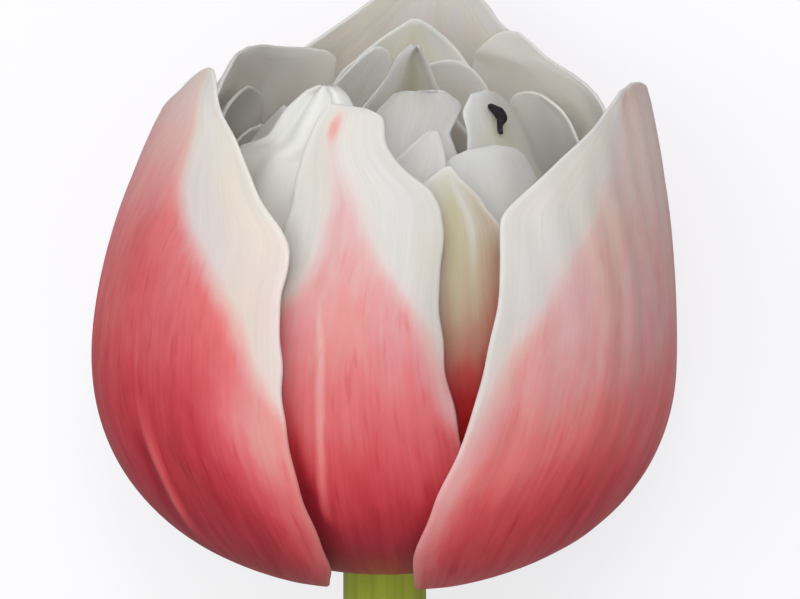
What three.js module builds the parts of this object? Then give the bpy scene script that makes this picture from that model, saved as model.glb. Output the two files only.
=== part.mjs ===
// One cut double tulip, lying on a table: a full cup of overlapping petals on a green stem with two leaves.
// Millimetres, +Z up. The origin is on the table, under the bloom's resting spot. The stem lies towards -Y,
// the bloom opens towards +Y, and the bloom's front is its upper side.
import * as THREE from "three";

const DEGREE = Math.PI / 180;

// Driving sizes of the bloom, in millimetres and degrees. Its petals stand in rings, and ring 0 is the
// outermost.
const BELLY_RADIUS = 28.4; // of the outermost ring of petals, at its widest
const BELLY_HEIGHT = 20.5; // of the widest point, above the petals' roots
const ROOT_RADIUS = 4.8; // where the outermost petals leave the receptacle
const UPPER_LENGTH = 32; // along a petal, from its widest point to its tip
const CLOSING = 18; // how steeply the outermost petals turn inwards above the widest point
const RING = { belly: 2.5, closing: 3.2, rootHeight: 1.5, rootRadius: 0.25 }; // what each next ring changes
const BELLY_SHARE = 0.5; // of a petal's length lies below the widest point
const FULLNESS = 2.2; // of the rounded bottom: 2 is an ellipse, more is squarer
const SHOULDER = { drop: 0.3, from: 4, width: 16 }; // the petals sag round the stem, like an apple's top
const MOUTH_LEAN = { reach: 3.3, curve: 1.5 }; // how far the mouth leans to the right, and how late
const PETAL_THICKNESS = 0.7;

// How the flower lies.
const PITCH = 7; // the bloom's axis rises this much towards its tip
const FLATTENED = 0.6; // depth by which the bloom's own weight flattens its underside

// The stem and the receptacle at its top.
const STEM = { radius: 4.2, endRadius: 4.6, neck: 1.2, reach: 262, bow: -7, rings: 28, sides: 18 };
const STEM_CURVE = { pull: 0.36, rise: 0.018 }; // reach of its line's handles, as shares of its length
const RECEPTACLE_HEIGHT = 7.6;
const GAP = 0.3; // between pieces that touch

// The heart of the bloom. Heights are above the receptacle. PISTIL's stations are [height, radius],
// STAMEN's are [distance from the axis, height, radius], and ANTHER's are [level, azimuth, radius] on the
// petal-like stamen.
const PISTIL = [[0, 1.5], [1.2, 1.9], [4, 2.9], [11, 3.1], [15, 2.6], [16.5, 3.3], [18.5, 3.7], [19.4, 2.6]];
const PISTIL_LOBES = { count: 3, ovary: 0.08, stigma: 0.22, stigmaFrom: 15 };
const STAMEN = [[2.55, 0, 0.62], [3.5, 2.4, 0.62], [4.6, 4.8, 0.62], [5.5, 7.4, 0.6], [5.7, 8.2, 1.05],
  [5.9, 9.6, 1.25], [6.3, 13, 1.2], [6.5, 15.4, 0.9], [6.6, 16.2, 0.35]];
const STAMENS = { count: 6, first: 20 };
const ANTHER = [[44.7, 52, 0.3], [45.3, 54, 0.3], [45.7, 56, 0.42], [46.1, 57.5, 0.58], [46.5, 56.5, 0.58],
  [46.9, 53.5, 0.45], [47.3, 50, 0.3]];

// The leaves. axis is the midrib, [sideways, ahead, height] from the middle of the stem where the leaf
// starts, and the rest are stations along it: half-width, radius of its hollow, and roll from facing the
// stem to facing up.
const LEAF_THICKNESS = 0.8;
const LEAVES = {
  leaf_large: {
    start: -222,
    hand: 1,
    axis: [[0, 0], [9.5, 22, 8], [18, 55, 12.5], [29, 95, 12], [37, 130, 6], [40, 156, 1.6]],
    halfWidth: [[0, 5.5], [0.15, 10], [0.4, 17], [0.65, 16], [0.88, 7.5], [1, 0.5]],
    hollow: [[0, 5.3], [0.15, 8.5], [0.35, 20], [0.7, 20], [1, 10]],
    roll: [[0, 0], [0.15, 10], [0.4, 42], [0.65, 68], [1, 84]],
    wave: 1.1,
  },
  leaf_small: {
    start: -182,
    hand: -1,
    axis: [[0, 0], [8.5, 18, 10.5], [14.5, 45, 14], [23, 80, 11], [29, 108, 5], [32, 125, 1.6]],
    halfWidth: [[0, 5.2], [0.15, 7], [0.4, 10.5], [0.65, 10], [0.88, 5], [1, 0.5]],
    hollow: [[0, 5.3], [0.15, 7.5], [0.35, 14], [0.7, 14], [1, 8]],
    roll: [[0, 0], [0.15, 12], [0.4, 45], [0.65, 70], [1, 84]],
    wave: 0.7,
  },
};

const COLOUR = {
  flame: 0xc9525c,
  white: 0xdcdcd2,
  cream: 0xd2d0c0,
  stem: 0x8f9f35,
  leaf: 0x6f8f5a,
  pistil: 0xb9c07a,
  stamen: 0x2a2129,
};

const clamp = (x, low, high) => Math.min(high, Math.max(low, x));
const smooth = (from, to, x) => {
  const t = clamp((x - from) / (to - from), 0, 1);
  return t * t * (3 - 2 * t);
};

// A smooth curve through stations [x, y] that never overshoots them.
function curve(stations) {
  const last = stations.length - 1;
  const slope = (i) => (stations[i + 1][1] - stations[i][1]) / (stations[i + 1][0] - stations[i][0]);
  const tangent = stations.map((_, i) => {
    if (i === 0) return slope(0);
    if (i === last) return slope(last - 1);
    const [before, after] = [slope(i - 1), slope(i)];
    return before * after <= 0 ? 0 : (2 * before * after) / (before + after);
  });
  return (x) => {
    let i = 0;
    while (i < last - 1 && x > stations[i + 1][0]) i++;
    const [[x0, y0], [x1, y1]] = [stations[i], stations[i + 1]];
    const width = x1 - x0;
    const t = clamp((x - x0) / width, 0, 1);
    return (
      y0 * (1 + 2 * t) * (1 - t) ** 2 +
      y1 * t * t * (3 - 2 * t) +
      width * (tangent[i] * t * (1 - t) ** 2 - tangent[i + 1] * t * t * (1 - t))
    );
  };
}

// The side view of a ring of petals at a share of the way from root to full length. level is the height
// that the point has on a petal that neither sags at its shoulder nor hangs its tip; hood degrees bend
// such a tip inwards.
function profile(ring, share, { hood = 0, hoodFrom = 0.75, open = 0 } = {}) {
  const belly = BELLY_RADIUS - RING.belly * ring;
  const root = ROOT_RADIUS - RING.rootRadius * ring;
  const rootHeight = RING.rootHeight * ring;
  if (share < BELLY_SHARE) {
    const turn = (Math.PI / 2) * Math.max(0, share / BELLY_SHARE);
    const radius = root + (belly - root) * Math.sin(turn) ** (2 / FULLNESS);
    const level = BELLY_HEIGHT - (BELLY_HEIGHT - rootHeight) * Math.cos(turn) ** (2 / FULLNESS);
    const sag = clamp((radius - SHOULDER.from) / SHOULDER.width, 0, 1);
    return { radius, height: level - SHOULDER.drop * Math.sin(Math.PI * sag) ** 2, level };
  }
  const steps = 24;
  const step = (share - BELLY_SHARE) / steps;
  const length = (step * UPPER_LENGTH) / (1 - BELLY_SHARE);
  let [radius, height, level] = [belly, BELLY_HEIGHT, BELLY_HEIGHT];
  for (let i = 0; i < steps; i++) {
    const here = BELLY_SHARE + step * (i + 0.5);
    const upper = (here - BELLY_SHARE) / (1 - BELLY_SHARE);
    const plain = (CLOSING + RING.closing * ring) * Math.sin((Math.PI / 2) * Math.min(1, 1.3 * upper));
    const inwards = plain + hood * smooth(hoodFrom, 1.05, here) - open * smooth(0.6, 1, here);
    radius -= length * Math.sin(inwards * DEGREE);
    height += length * Math.cos(inwards * DEGREE);
    level += length * Math.cos(plain * DEGREE);
  }
  return { radius, height, level };
}

// The share at which a ring of petals reaches a level.
function shareAt(ring, level) {
  let [low, high] = [0, 1.4];
  for (let i = 0; i < 40; i++) {
    const middle = (low + high) / 2;
    if (profile(ring, middle).level < level) low = middle;
    else high = middle;
  }
  return (low + high) / 2;
}

const PLAIN_PETAL = { tuckFrom: 0, tuckTo: 0, ruffle: 0, phase: 0, pleat: 0, pleats: 1.5 };
const CROWDING = { tip: 1.25, pull: 0.12, root: 0.92 }; // rows stand closer at a petal's two ends
const RUFFLE_WAVES = 2; // along a margin

// A petal's lower margin can tuck under its neighbour. The tuck fades out at the root and well below the
// tip.
const tucked = (along) => smooth(0.08, 0.3, along) * (1 - smooth(0.6, 0.85, along));

// A point of a ring, in the bloom's own frame: x to the right, y along its axis, z to the front.
function onRing({ radius, height }, azimuth) {
  const upper = Math.max(0, (height - BELLY_HEIGHT) / UPPER_LENGTH);
  const lean = MOUTH_LEAN.reach * upper ** MOUTH_LEAN.curve;
  const turn = azimuth * DEGREE;
  return new THREE.Vector3(radius * Math.sin(turn) + lean, height, radius * Math.cos(turn));
}

// A petal's middle surface. Its two edges, from and to, are stations [level, azimuth] that end at its
// tip; azimuth grows from the front to the right.
function petalSurface(petal) {
  const from = curve(petal.from);
  const to = curve(petal.to);
  const topShare = shareAt(petal.ring, petal.from.at(-1)[0]);
  return (along, across) => {
    const left = (1 - along) ** CROWDING.tip * (1 - CROWDING.pull * along);
    const share = topShare * (1 - left) ** CROWDING.root;
    const rise = smooth(0.3, 0.85, along);
    const side = Math.abs(across);
    const offset =
      (across < 0 ? petal.tuckFrom : petal.tuckTo) * side ** 2 * tucked(along) +
      petal.ruffle * rise * side ** 2 * Math.sin(2 * Math.PI * RUFFLE_WAVES * along + petal.phase + across) +
      petal.pleat * rise * Math.sin(Math.PI * petal.pleats * across + petal.phase);
    const { level } = profile(petal.ring, share);
    const [first, second] = [from(level), to(level)];
    return onRing(profile(petal.ring + offset, share, petal), first + ((second - first) * (across + 1)) / 2);
  };
}

// A closed slab of even thickness round a surface given by point(along, across), with along from 0 to 1
// and across from -1 to 1. settle, if given, moves each finished point of the outer (+1) or inner (-1)
// face.
function slab(point, { rows, columns, thickness, settle = (p) => p }) {
  const positions = [];
  const step = 1e-3;
  for (const face of [1, -1])
    for (let i = 0; i <= rows; i++)
      for (let j = 0; j <= columns; j++) {
        const along = i / rows;
        const across = (2 * j) / columns - 1;
        const a = clamp(along, step, 1 - step);
        const c = clamp(across, step - 1, 1 - step);
        const lengthwise = point(a + step, c).sub(point(a - step, c));
        const sideways = point(a, c + step).sub(point(a, c - step));
        const normal = sideways.cross(lengthwise).normalize();
        const place = point(along, across).addScaledVector(normal, (face * thickness) / 2);
        positions.push(...settle(place, face).toArray());
      }
  const perFace = (rows + 1) * (columns + 1);
  const at = (face, i, j) => (face > 0 ? 0 : perFace) + i * (columns + 1) + j;
  const index = [];
  const quad = (a, b, c, d) => index.push(a, b, c, a, c, d);
  for (let i = 0; i < rows; i++)
    for (let j = 0; j < columns; j++) {
      quad(at(1, i, j), at(1, i, j + 1), at(1, i + 1, j + 1), at(1, i + 1, j));
      index.push(at(-1, i, j), at(-1, i + 1, j + 1), at(-1, i, j + 1));
      index.push(at(-1, i, j), at(-1, i + 1, j), at(-1, i + 1, j + 1));
    }
  for (let i = 0; i < rows; i++) {
    quad(at(1, i, 0), at(1, i + 1, 0), at(-1, i + 1, 0), at(-1, i, 0));
    quad(at(1, i, columns), at(-1, i, columns), at(-1, i + 1, columns), at(1, i + 1, columns));
  }
  for (let j = 0; j < columns; j++) {
    quad(at(1, 0, j), at(-1, 0, j), at(-1, 0, j + 1), at(1, 0, j + 1));
    quad(at(1, rows, j), at(1, rows, j + 1), at(-1, rows, j + 1), at(-1, rows, j));
  }
  return new THREE.BufferGeometry()
    .setAttribute("position", new THREE.Float32BufferAttribute(positions, 3))
    .setIndex(index);
}

// A closed body through a row of rings. stations are [middle, radius] and each ring is square to the row
// there; squash(turn, i), if given, scales the radius round the ring.
function rod(stations, sides, squash = () => 1) {
  const middles = stations.map(([middle]) => middle);
  const last = middles.length - 1;
  const positions = [];
  let side = new THREE.Vector3(1, 0, 0);
  middles.forEach((middle, i) => {
    const ahead = middles[Math.min(last, i + 1)];
    const behind = middles[Math.max(0, i - 1)];
    const along = ahead.clone().sub(behind).normalize();
    side = side.clone().addScaledVector(along, -side.dot(along)).normalize();
    const other = along.clone().cross(side);
    for (let j = 0; j < sides; j++) {
      const turn = (2 * Math.PI * j) / sides;
      const radius = stations[i][1] * squash(turn, i);
      const place = middle
        .clone()
        .addScaledVector(side, radius * Math.cos(turn))
        .addScaledVector(other, radius * Math.sin(turn));
      positions.push(...place.toArray());
    }
  });
  positions.push(...middles[0].toArray(), ...middles[last].toArray());
  const [first, final] = [(last + 1) * sides, (last + 1) * sides + 1];
  const at = (i, j) => i * sides + (j % sides);
  const index = [];
  for (let j = 0; j < sides; j++) {
    for (let i = 0; i < last; i++)
      index.push(at(i, j), at(i, j + 1), at(i + 1, j + 1), at(i, j), at(i + 1, j + 1), at(i + 1, j));
    index.push(first, at(0, j + 1), at(0, j), final, at(last, j), at(last, j + 1));
  }
  return new THREE.BufferGeometry()
    .setAttribute("position", new THREE.Float32BufferAttribute(positions, 3))
    .setIndex(index);
}

const finish = (colour, roughness = 0.55) =>
  new THREE.MeshStandardMaterial({ color: colour, roughness, metalness: 0, side: THREE.DoubleSide });

const named = (name, geometry, material) => {
  const mesh = new THREE.Mesh(geometry, material);
  mesh.name = name;
  return mesh;
};

// The bloom's frame: its axis lies along +Y and rises by PITCH, and its flattened underside touches the
// table at the origin.
const bloom = new THREE.Group();
bloom.rotation.x = PITCH * DEGREE;
bloom.updateMatrixWorld(true);
{
  let lowest = new THREE.Vector3(0, 0, Infinity);
  for (let share = 0.2; share < 0.8; share += 0.002) {
    const { radius, height } = profile(0, share);
    const point = bloom.localToWorld(new THREE.Vector3(0, height, -radius - PETAL_THICKNESS / 2));
    if (point.z < lowest.z) lowest = point;
  }
  bloom.position.set(0, -lowest.y, -lowest.z - FLATTENED);
  bloom.updateMatrixWorld(true);
}

// Keeps a point of a bloom's petal above the table, with its inner face a petal's thickness above the
// outer one.
function onTable(point, face) {
  const inWorld = bloom.localToWorld(point.clone());
  inWorld.z = Math.max(inWorld.z, face > 0 ? 0 : PETAL_THICKNESS);
  return bloom.worldToLocal(inWorld);
}

// The petals, ring by ring from the outside in.
const OUTER = { rows: 18, columns: 12 };
const SECOND = { rows: 15, columns: 8 };
const THIRD = { rows: 13, columns: 6 };
const INNER = { rows: 12, columns: 6 };
const PETALS = {
  outer_petal_left: {
    ...OUTER,
    ring: 0,
    from: [[0, -112], [11, -112], [22, -122], [34, -121], [40, -111], [43, -100], [45, -90], [46.3, -84.5],
      [47.7, -79.5], [48.9, -75.5], [50.7, -69], [51.3, -66.5], [51.7, -63.8]],
    to: [[0, -75], [0.15, -62], [0.37, -43], [0.8, -30], [1.5, -21.2], [3.3, -16], [6.7, -12.6],
      [16.3, -16.4], [24.4, -19.4], [34.5, -22.5], [37.8, -22.6], [42, -31.7], [45.6, -41], [49.3, -54],
      [51.1, -59], [51.7, -61.5]],
    tuckFrom: 0.5,
    open: 3,
  },
  outer_petal_right: {
    ...OUTER,
    ring: 0,
    from: [[0, 58], [0.15, 40], [0.37, 27], [0.8, 17.7], [1.5, 12], [3.3, 8.7], [8, 6.5], [14.3, 9.7],
      [19.6, 14], [24.4, 17], [33.6, 21.1], [40.8, 21.8], [43.8, 30], [46, 39], [48.4, 53], [49.8, 62.5]],
    to: [[0, 112], [11, 112], [22, 122], [34, 121], [41, 115], [45, 103], [47.5, 89], [49.1, 78], [49.8, 70]],
    tuckTo: 0.5,
  },
  outer_petal_back: {
    ...OUTER,
    ring: 0,
    from: [[0, 116], [8, 114], [20, 114], [34, 121], [41, 130], [45, 142], [47.4, 153], [50.5, 161],
      [53, 168], [54.5, 175]],
    to: [[0, 244], [8, 246], [20, 246], [34, 237], [41, 225], [44, 215.5], [45.6, 208.5], [48, 199.5],
      [50.5, 191.5], [53, 185], [54.5, 179]],
  },
  second_petal_front: {
    ...SECOND,
    ring: 1,
    from: [[0, -34], [20, -31], [37, -29], [45.7, -30], [48.5, -29], [50.2, -26]],
    to: [[0, 30], [6, 24], [14, 19], [20, 16], [28.8, 11.5], [33.4, 10], [37.7, 10.8], [41, 10.3], [43, 7],
      [44.1, 2.5], [45.6, -3], [47, -6.5], [49.3, -9], [50, -14], [50.2, -21]],
  },
  second_petal_right: {
    ...SECOND,
    ring: 1.1,
    from: [[0, 38], [20, 29], [34, 29], [40, 38], [43, 50], [44, 56]],
    to: [[0, 80], [20, 84], [34, 84], [40, 74], [43, 65], [44, 60]],
  },
  second_petal_back_right: {
    ...SECOND,
    ring: 1.15,
    from: [[0, 92], [20, 90], [34, 88], [41, 91], [43.5, 95], [45, 105], [45.8, 119], [46.6, 131],
      [48, 138.5], [49, 144]],
    to: [[0, 156], [20, 163], [34, 163], [44, 161], [46.5, 158], [48.3, 153], [49, 149]],
  },
  second_petal_back_left: {
    ...SECOND,
    ring: 1.15,
    from: [[0, -162], [20, -160], [40, -160], [45, -159], [46.4, -154], [47.1, -146], [47.9, -136],
      [48.9, -124], [49.5, -113]],
    to: [[0, -92], [20, -84], [40, -80], [45, -81], [47.5, -84], [48.6, -91], [49.4, -101], [49.6, -108]],
  },
  second_petal_left: {
    ...SECOND,
    ring: 1.1,
    from: [[0, -86], [20, -78], [34, -77], [40, -70], [43, -62], [44, -58]],
    to: [[0, -40], [20, -37], [34, -37], [40, -43], [43, -50], [44, -54]],
  },
  third_petal_front_left: {
    ...SECOND,
    ring: 2,
    from: [[0, -58], [20, -62], [36, -66], [42, -64], [43.6, -59], [44.7, -54], [46.1, -54], [47.2, -55],
      [48.4, -52], [49.4, -46], [50.1, -40], [50.5, -35]],
    to: [[0, -16], [20, -14], [40, -14], [46, -17], [48.8, -21], [50.1, -27], [50.5, -32]],
    open: 6,
    ruffle: 0.1,
    pleat: 0.1,
    pleats: 2.6,
  },
  third_petal_front: {
    ...THIRD,
    ring: 2,
    from: [[0, -8], [24, -6], [36, -4], [42, 3], [44.2, 12]],
    to: [[0, 36], [10, 36], [24, 34], [34, 30], [37.2, 27], [39.5, 24], [41.7, 19.5], [44.2, 14.5]],
  },
  third_petal_right: {
    ...THIRD,
    ring: 2.1,
    from: [[0, 48], [20, 46], [34, 47], [40, 54], [42.4, 62], [43, 69]],
    to: [[0, 92], [20, 98], [34, 97], [40, 89], [42.4, 80], [43, 74]],
    ruffle: 0.1,
  },
  third_petal_back_right: {
    ...THIRD,
    ring: 2.1,
    from: [[0, 102], [20, 104], [34, 105], [40, 108], [42.6, 113], [43.6, 120], [43.9, 126]],
    to: [[0, 142], [20, 148], [34, 148], [40, 145], [42.6, 141], [43.6, 136], [43.9, 131]],
    ruffle: 0.1,
    phase: 2,
  },
  third_petal_back: {
    ...THIRD,
    ring: 2.1,
    from: [[0, 154], [20, 154], [38, 153], [44.9, 156], [48, 165], [50, 174], [50.6, 178]],
    to: [[0, 206], [20, 206], [38, 207], [44.9, 203], [48, 194], [50, 185], [50.6, 182]],
  },
  third_petal_back_left: {
    ...THIRD,
    ring: 2.25,
    from: [[0, -148], [20, -148], [32, -147], [38, -140], [40, -133], [40.5, -128]],
    to: [[0, -108], [20, -104], [32, -104], [38, -110], [40, -117], [40.5, -122]],
    ruffle: 0.1,
  },
  third_petal_left: {
    ...THIRD,
    ring: 1.75,
    from: [[0, -98], [8, -102], [20, -116], [36, -134], [41, -133], [43.6, -127], [45, -119],
      [45.6, -113]],
    to: [[0, -74], [20, -76], [34, -80], [40, -86], [43.5, -91], [45.1, -98], [45.6, -106]],
  },
  fourth_petal_front: {
    ...INNER,
    ring: 2.7,
    from: [[0, -30], [20, -32], [36, -26], [42, -12], [45.1, -1], [46.2, 4.5], [46.7, 8]],
    to: [[0, 4], [20, 12], [38, 16], [44, 15], [45.8, 13.5], [46.7, 11.5]],
    ruffle: 0.1,
  },
  fourth_petal_front_right: {
    ...INNER,
    ring: 3.1,
    from: [[0, 10], [20, 14], [36, 12], [42, 13], [43.8, 18], [44.4, 27]],
    to: [[0, 54], [20, 58], [36, 60], [41, 60], [43.4, 53], [44.4, 40]],
  },
  fourth_petal_hooded: {
    ...INNER,
    ring: 3.7,
    from: [[0, -24], [20, -26], [40, -25], [45.5, -24], [47, -28], [49, -36], [50.6, -36], [51.3, -12]],
    to: [[0, 28], [20, 29], [38, 28], [45.5, 27], [47, 36], [49, 52], [50.6, 52], [51.3, 32]],
    hood: 38,
    pleat: 0.12,
  },
  fourth_petal_right: {
    ...INNER,
    ring: 3.1,
    from: [[0, 66], [20, 70], [33, 72], [38, 80], [40, 89]],
    to: [[0, 116], [20, 122], [33, 122], [38, 111], [40, 98]],
  },
  fourth_petal_back_right: {
    ...INNER,
    ring: 3.1,
    from: [[0, 124], [20, 130], [36, 132], [42, 138], [44.8, 142], [46.6, 149], [47.2, 156]],
    to: [[0, 170], [20, 184], [36, 184], [43, 181], [45.6, 175], [46.8, 168], [47.2, 161]],
  },
  fourth_petal_back_left: {
    ...INNER,
    ring: 3.1,
    from: [[0, -172], [20, -170], [36, -170], [43, -173], [46.5, -172], [48.1, -168], [48.7, -163]],
    to: [[0, -118], [20, -116], [36, -124], [42, -140], [45.7, -148], [48, -155], [48.7, -159]],
  },
  fourth_petal_left: {
    ...INNER,
    ring: 3.1,
    from: [[0, -108], [20, -104], [36, -104], [42, -98], [45, -88], [46, -82]],
    to: [[0, -54], [20, -48], [36, -46], [42, -54], [45, -66], [46, -74]],
  },
  petaloid_stamen: {
    ...INNER,
    ring: 3.7,
    from: [[0, 38], [20, 37], [38, 33.5], [44, 31.5], [47, 33], [48.4, 41]],
    to: [[0, 64], [20, 78], [38, 86], [43, 86], [46, 79], [47.6, 68], [48.4, 56]],
    columns: 4,
  },
  inner_petal_back: {
    ...INNER,
    ring: 4.3,
    from: [[0, 140], [20, 134], [36, 134], [41.4, 145], [45.6, 156], [48.6, 165], [50.2, 175]],
    to: [[0, 214], [20, 222], [36, 222], [42, 208], [46.1, 197], [48.8, 194], [50.2, 184]],
    pleat: 0.1,
  },
  inner_petal_left: {
    ...INNER,
    ring: 4.3,
    from: [[0, -118], [20, -124], [36, -126], [42, -112], [45, -94], [46, -84]],
    to: [[0, -44], [20, -36], [36, -34], [42, -46], [45, -62], [46, -72]],
    pleat: 0.1,
  },
  inner_petal_right: {
    ...INNER,
    ring: 4.3,
    from: [[0, 60], [20, 58], [36, 60], [42, 70], [44, 84]],
    to: [[0, 124], [20, 122], [36, 118], [42, 108], [44, 94]],
    pleat: 0.1,
  },
};
for (const [name, own] of Object.entries(PETALS)) {
  const petal = { ...PLAIN_PETAL, ...own };
  const geometry = slab(petalSurface(petal), {
    rows: petal.rows,
    columns: petal.columns,
    thickness: PETAL_THICKNESS,
    settle: onTable,
  });
  const colour = petal.ring < 2 ? COLOUR.flame : petal.ring < 3 ? COLOUR.white : COLOUR.cream;
  bloom.add(named(name, geometry, finish(colour)));
}

// The heart of the bloom, in the bloom's frame: the pistil on its axis and the stamens round it. One
// stamen has half turned into a petal, and its dark anther hangs on the outer face of that petal, just
// below its tip.
const inBloom = (radius, height, azimuth) =>
  new THREE.Vector3(radius * Math.sin(azimuth * DEGREE), height, radius * Math.cos(azimuth * DEGREE));
{
  const heart = RECEPTACLE_HEIGHT + GAP;
  const pistil = PISTIL.map(([height, radius]) => [inBloom(0, heart + height, 0), radius]);
  const lobes = (turn, i) => {
    const depth = PISTIL[i][0] > PISTIL_LOBES.stigmaFrom ? PISTIL_LOBES.stigma : PISTIL_LOBES.ovary;
    return 1 + depth * Math.cos(PISTIL_LOBES.count * turn);
  };
  bloom.add(named("pistil", rod(pistil, 18, lobes), finish(COLOUR.pistil)));

  for (let i = 0; i < STAMENS.count; i++) {
    const azimuth = STAMENS.first + (360 * i) / STAMENS.count;
    const rings = STAMEN.map(([radius, height, thick]) => [inBloom(radius, heart + height, azimuth), thick]);
    bloom.add(named(`stamen_${i + 1}`, rod(rings, 7), finish(COLOUR.stamen, 0.8)));
  }

  const ring = PETALS.petaloid_stamen.ring;
  const anther = ANTHER.map(([level, azimuth, radius]) => {
    const surface = profile(ring, shareAt(ring, level));
    const clear = PETAL_THICKNESS / 2 + GAP + radius;
    return [onRing({ radius: surface.radius + clear, height: surface.height }, azimuth), radius];
  });
  bloom.add(named("petaloid_anther", rod(anther, 10), finish(COLOUR.stamen, 0.8)));
}

// The stem, from the cut end up into the bloom, where it becomes the receptacle that the petals grow from.
const flower = new THREE.Group();
const stemPath = (() => {
  const joint = bloom.localToWorld(new THREE.Vector3(0, -STEM.neck, 0));
  const upwards = new THREE.Vector3(0, 1, 0).applyQuaternion(bloom.quaternion);
  const cut = new THREE.Vector3(STEM.bow, -STEM.reach, STEM.endRadius);
  const span = joint.y - cut.y;
  return new THREE.CubicBezierCurve3(
    cut,
    cut.clone().add(new THREE.Vector3(0, span * STEM_CURVE.pull, span * STEM_CURVE.rise)),
    joint.clone().addScaledVector(upwards, -span * STEM_CURVE.pull),
    joint,
  );
})();
{
  const stations = stemPath.getSpacedPoints(STEM.rings).map((middle, i) => {
    const share = i / STEM.rings;
    return [middle, STEM.endRadius + (STEM.radius - STEM.endRadius) * smooth(0, 0.7, share)];
  });
  const rise = RECEPTACLE_HEIGHT / 5;
  for (let height = 0; height < RECEPTACLE_HEIGHT + rise / 2; height += rise) {
    const root = ROOT_RADIUS - (RING.rootRadius / RING.rootHeight) * height;
    stations.push([bloom.localToWorld(new THREE.Vector3(0, height, 0)), root - GAP]);
  }
  flower.add(named("stem", rod(stations, STEM.sides), finish(COLOUR.stem, 0.45)));
}

// The leaves, which clasp the stem low down and hang to the table on either side of it.
for (const [name, leaf] of Object.entries(LEAVES)) {
  let stem = stemPath.getPoint(0);
  for (let t = 0; t <= 1 && stem.y < leaf.start; t += 0.001) stem = stemPath.getPoint(t);
  const clasp = STEM.endRadius + GAP + LEAF_THICKNESS / 2;
  const axis = new THREE.CatmullRomCurve3(
    leaf.axis.map(
      ([aside, ahead, height]) =>
        new THREE.Vector3(stem.x + leaf.hand * Math.max(aside, clasp), stem.y + ahead, height ?? stem.z),
    ),
    false,
    "centripetal",
  );
  const [halfWidth, hollow, roll] = [curve(leaf.halfWidth), curve(leaf.hollow), curve(leaf.roll)];
  const surface = (along, across) => {
    const middle = axis.getPoint(along);
    const turn = roll(along) * DEGREE;
    const inwards = new THREE.Vector3(-leaf.hand * Math.cos(turn), 0, Math.sin(turn));
    const outwards = new THREE.Vector3(leaf.hand * Math.sin(turn), 0, Math.cos(turn));
    const radius = hollow(along);
    const bend = (leaf.hand * across * halfWidth(along)) / radius;
    const ripple = leaf.wave * across ** 2 * smooth(0.2, 0.5, along) * Math.sin(9 * along * Math.PI + across);
    return middle
      .addScaledVector(outwards, radius * Math.sin(bend))
      .addScaledVector(inwards, radius * (1 - Math.cos(bend)) + ripple * smooth(1, 0.8, along));
  };
  const settle = (place, face) => {
    place.z = Math.max(place.z, face > 0 ? 0 : LEAF_THICKNESS);
    return place;
  };
  const shape = { rows: 22, columns: 8, thickness: LEAF_THICKNESS, settle };
  flower.add(named(name, slab(surface, shape), finish(COLOUR.leaf)));
}

flower.add(bloom);

export default flower;
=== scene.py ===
# %% [markdown]
# A cut double tulip lies on a white table, and the camera looks down on its bloom. The bloom is a cup of
# 26 petals in rings. This lesson grows each petal from the same rings as the CAD model, but
# with a much finer mesh, and then gives it veins, folds and its flame of red.
#
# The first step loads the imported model. It is the fixed frame: each of our pieces takes the place of one
# of its nodes.

# %% The frame
import math

import bpy
import numpy as np
from mathutils import Matrix, Vector


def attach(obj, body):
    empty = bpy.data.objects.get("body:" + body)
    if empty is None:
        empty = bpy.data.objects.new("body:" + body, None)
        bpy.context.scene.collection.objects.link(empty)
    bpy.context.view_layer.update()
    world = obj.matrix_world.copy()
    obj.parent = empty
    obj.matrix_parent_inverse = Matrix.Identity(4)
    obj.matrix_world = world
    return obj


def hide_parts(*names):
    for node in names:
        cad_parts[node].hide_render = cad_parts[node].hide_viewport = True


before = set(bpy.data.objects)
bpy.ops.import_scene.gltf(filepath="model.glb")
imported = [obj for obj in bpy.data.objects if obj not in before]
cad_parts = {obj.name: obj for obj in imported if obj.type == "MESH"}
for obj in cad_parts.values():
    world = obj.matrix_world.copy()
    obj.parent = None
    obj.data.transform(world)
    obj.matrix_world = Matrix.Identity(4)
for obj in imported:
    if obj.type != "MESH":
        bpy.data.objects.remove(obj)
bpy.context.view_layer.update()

MM = 0.001
DEGREE = math.pi / 180
print("nodes in the frame:", len(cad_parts))

# %% [markdown]
# The camera comes first, because all the work is judged through it. The photograph shows hardly any
# perspective, so a long lens from 450 mm away suits it. The camera hangs over the bloom, and leans 11
# degrees to its open side.

# %% The camera
CAMERA_TARGET = np.array([1.5, 5.1, 30.0])  # mm
CAMERA_LEAN = 11 * DEGREE
CAMERA_DISTANCE = 450.0  # mm
PICTURE_WIDTH = 78.0  # mm across the picture, at the target
SENSOR_WIDTH = 36.0

camera_back = np.array([0.0, math.sin(CAMERA_LEAN), math.cos(CAMERA_LEAN)])
camera_up = np.array([0.0, math.cos(CAMERA_LEAN), -math.sin(CAMERA_LEAN)])
camera_place = (CAMERA_TARGET + CAMERA_DISTANCE * camera_back) * MM
camera = bpy.data.objects.new("camera", bpy.data.cameras.new("camera"))
camera.data.sensor_width = SENSOR_WIDTH
camera.data.lens = SENSOR_WIDTH * CAMERA_DISTANCE / PICTURE_WIDTH
camera.data.clip_start = 0.01
camera.matrix_world = Matrix(
    [[(1, 0, 0)[i], camera_up[i], camera_back[i], camera_place[i]] for i in range(3)] + [[0, 0, 0, 1]]
)
bpy.context.scene.collection.objects.link(camera)
bpy.context.scene.camera = camera
print(f"lens {camera.data.lens:.0f} mm")

# %% [markdown]
# Petals could be sculpted one by one, but then they would run through each other. On a real bloom each
# ring of petals lies inside the last one, so here a petal is a piece cut out of its ring's surface,
# between two edges. First come two ways to blend numbers: a soft step, and a smooth curve through
# stations that never overshoots them.

# %% Soft steps and curves
def smooth(first, last, x):
    t = np.clip((x - first) / (last - first), 0, 1)
    return t * t * (3 - 2 * t)


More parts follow.
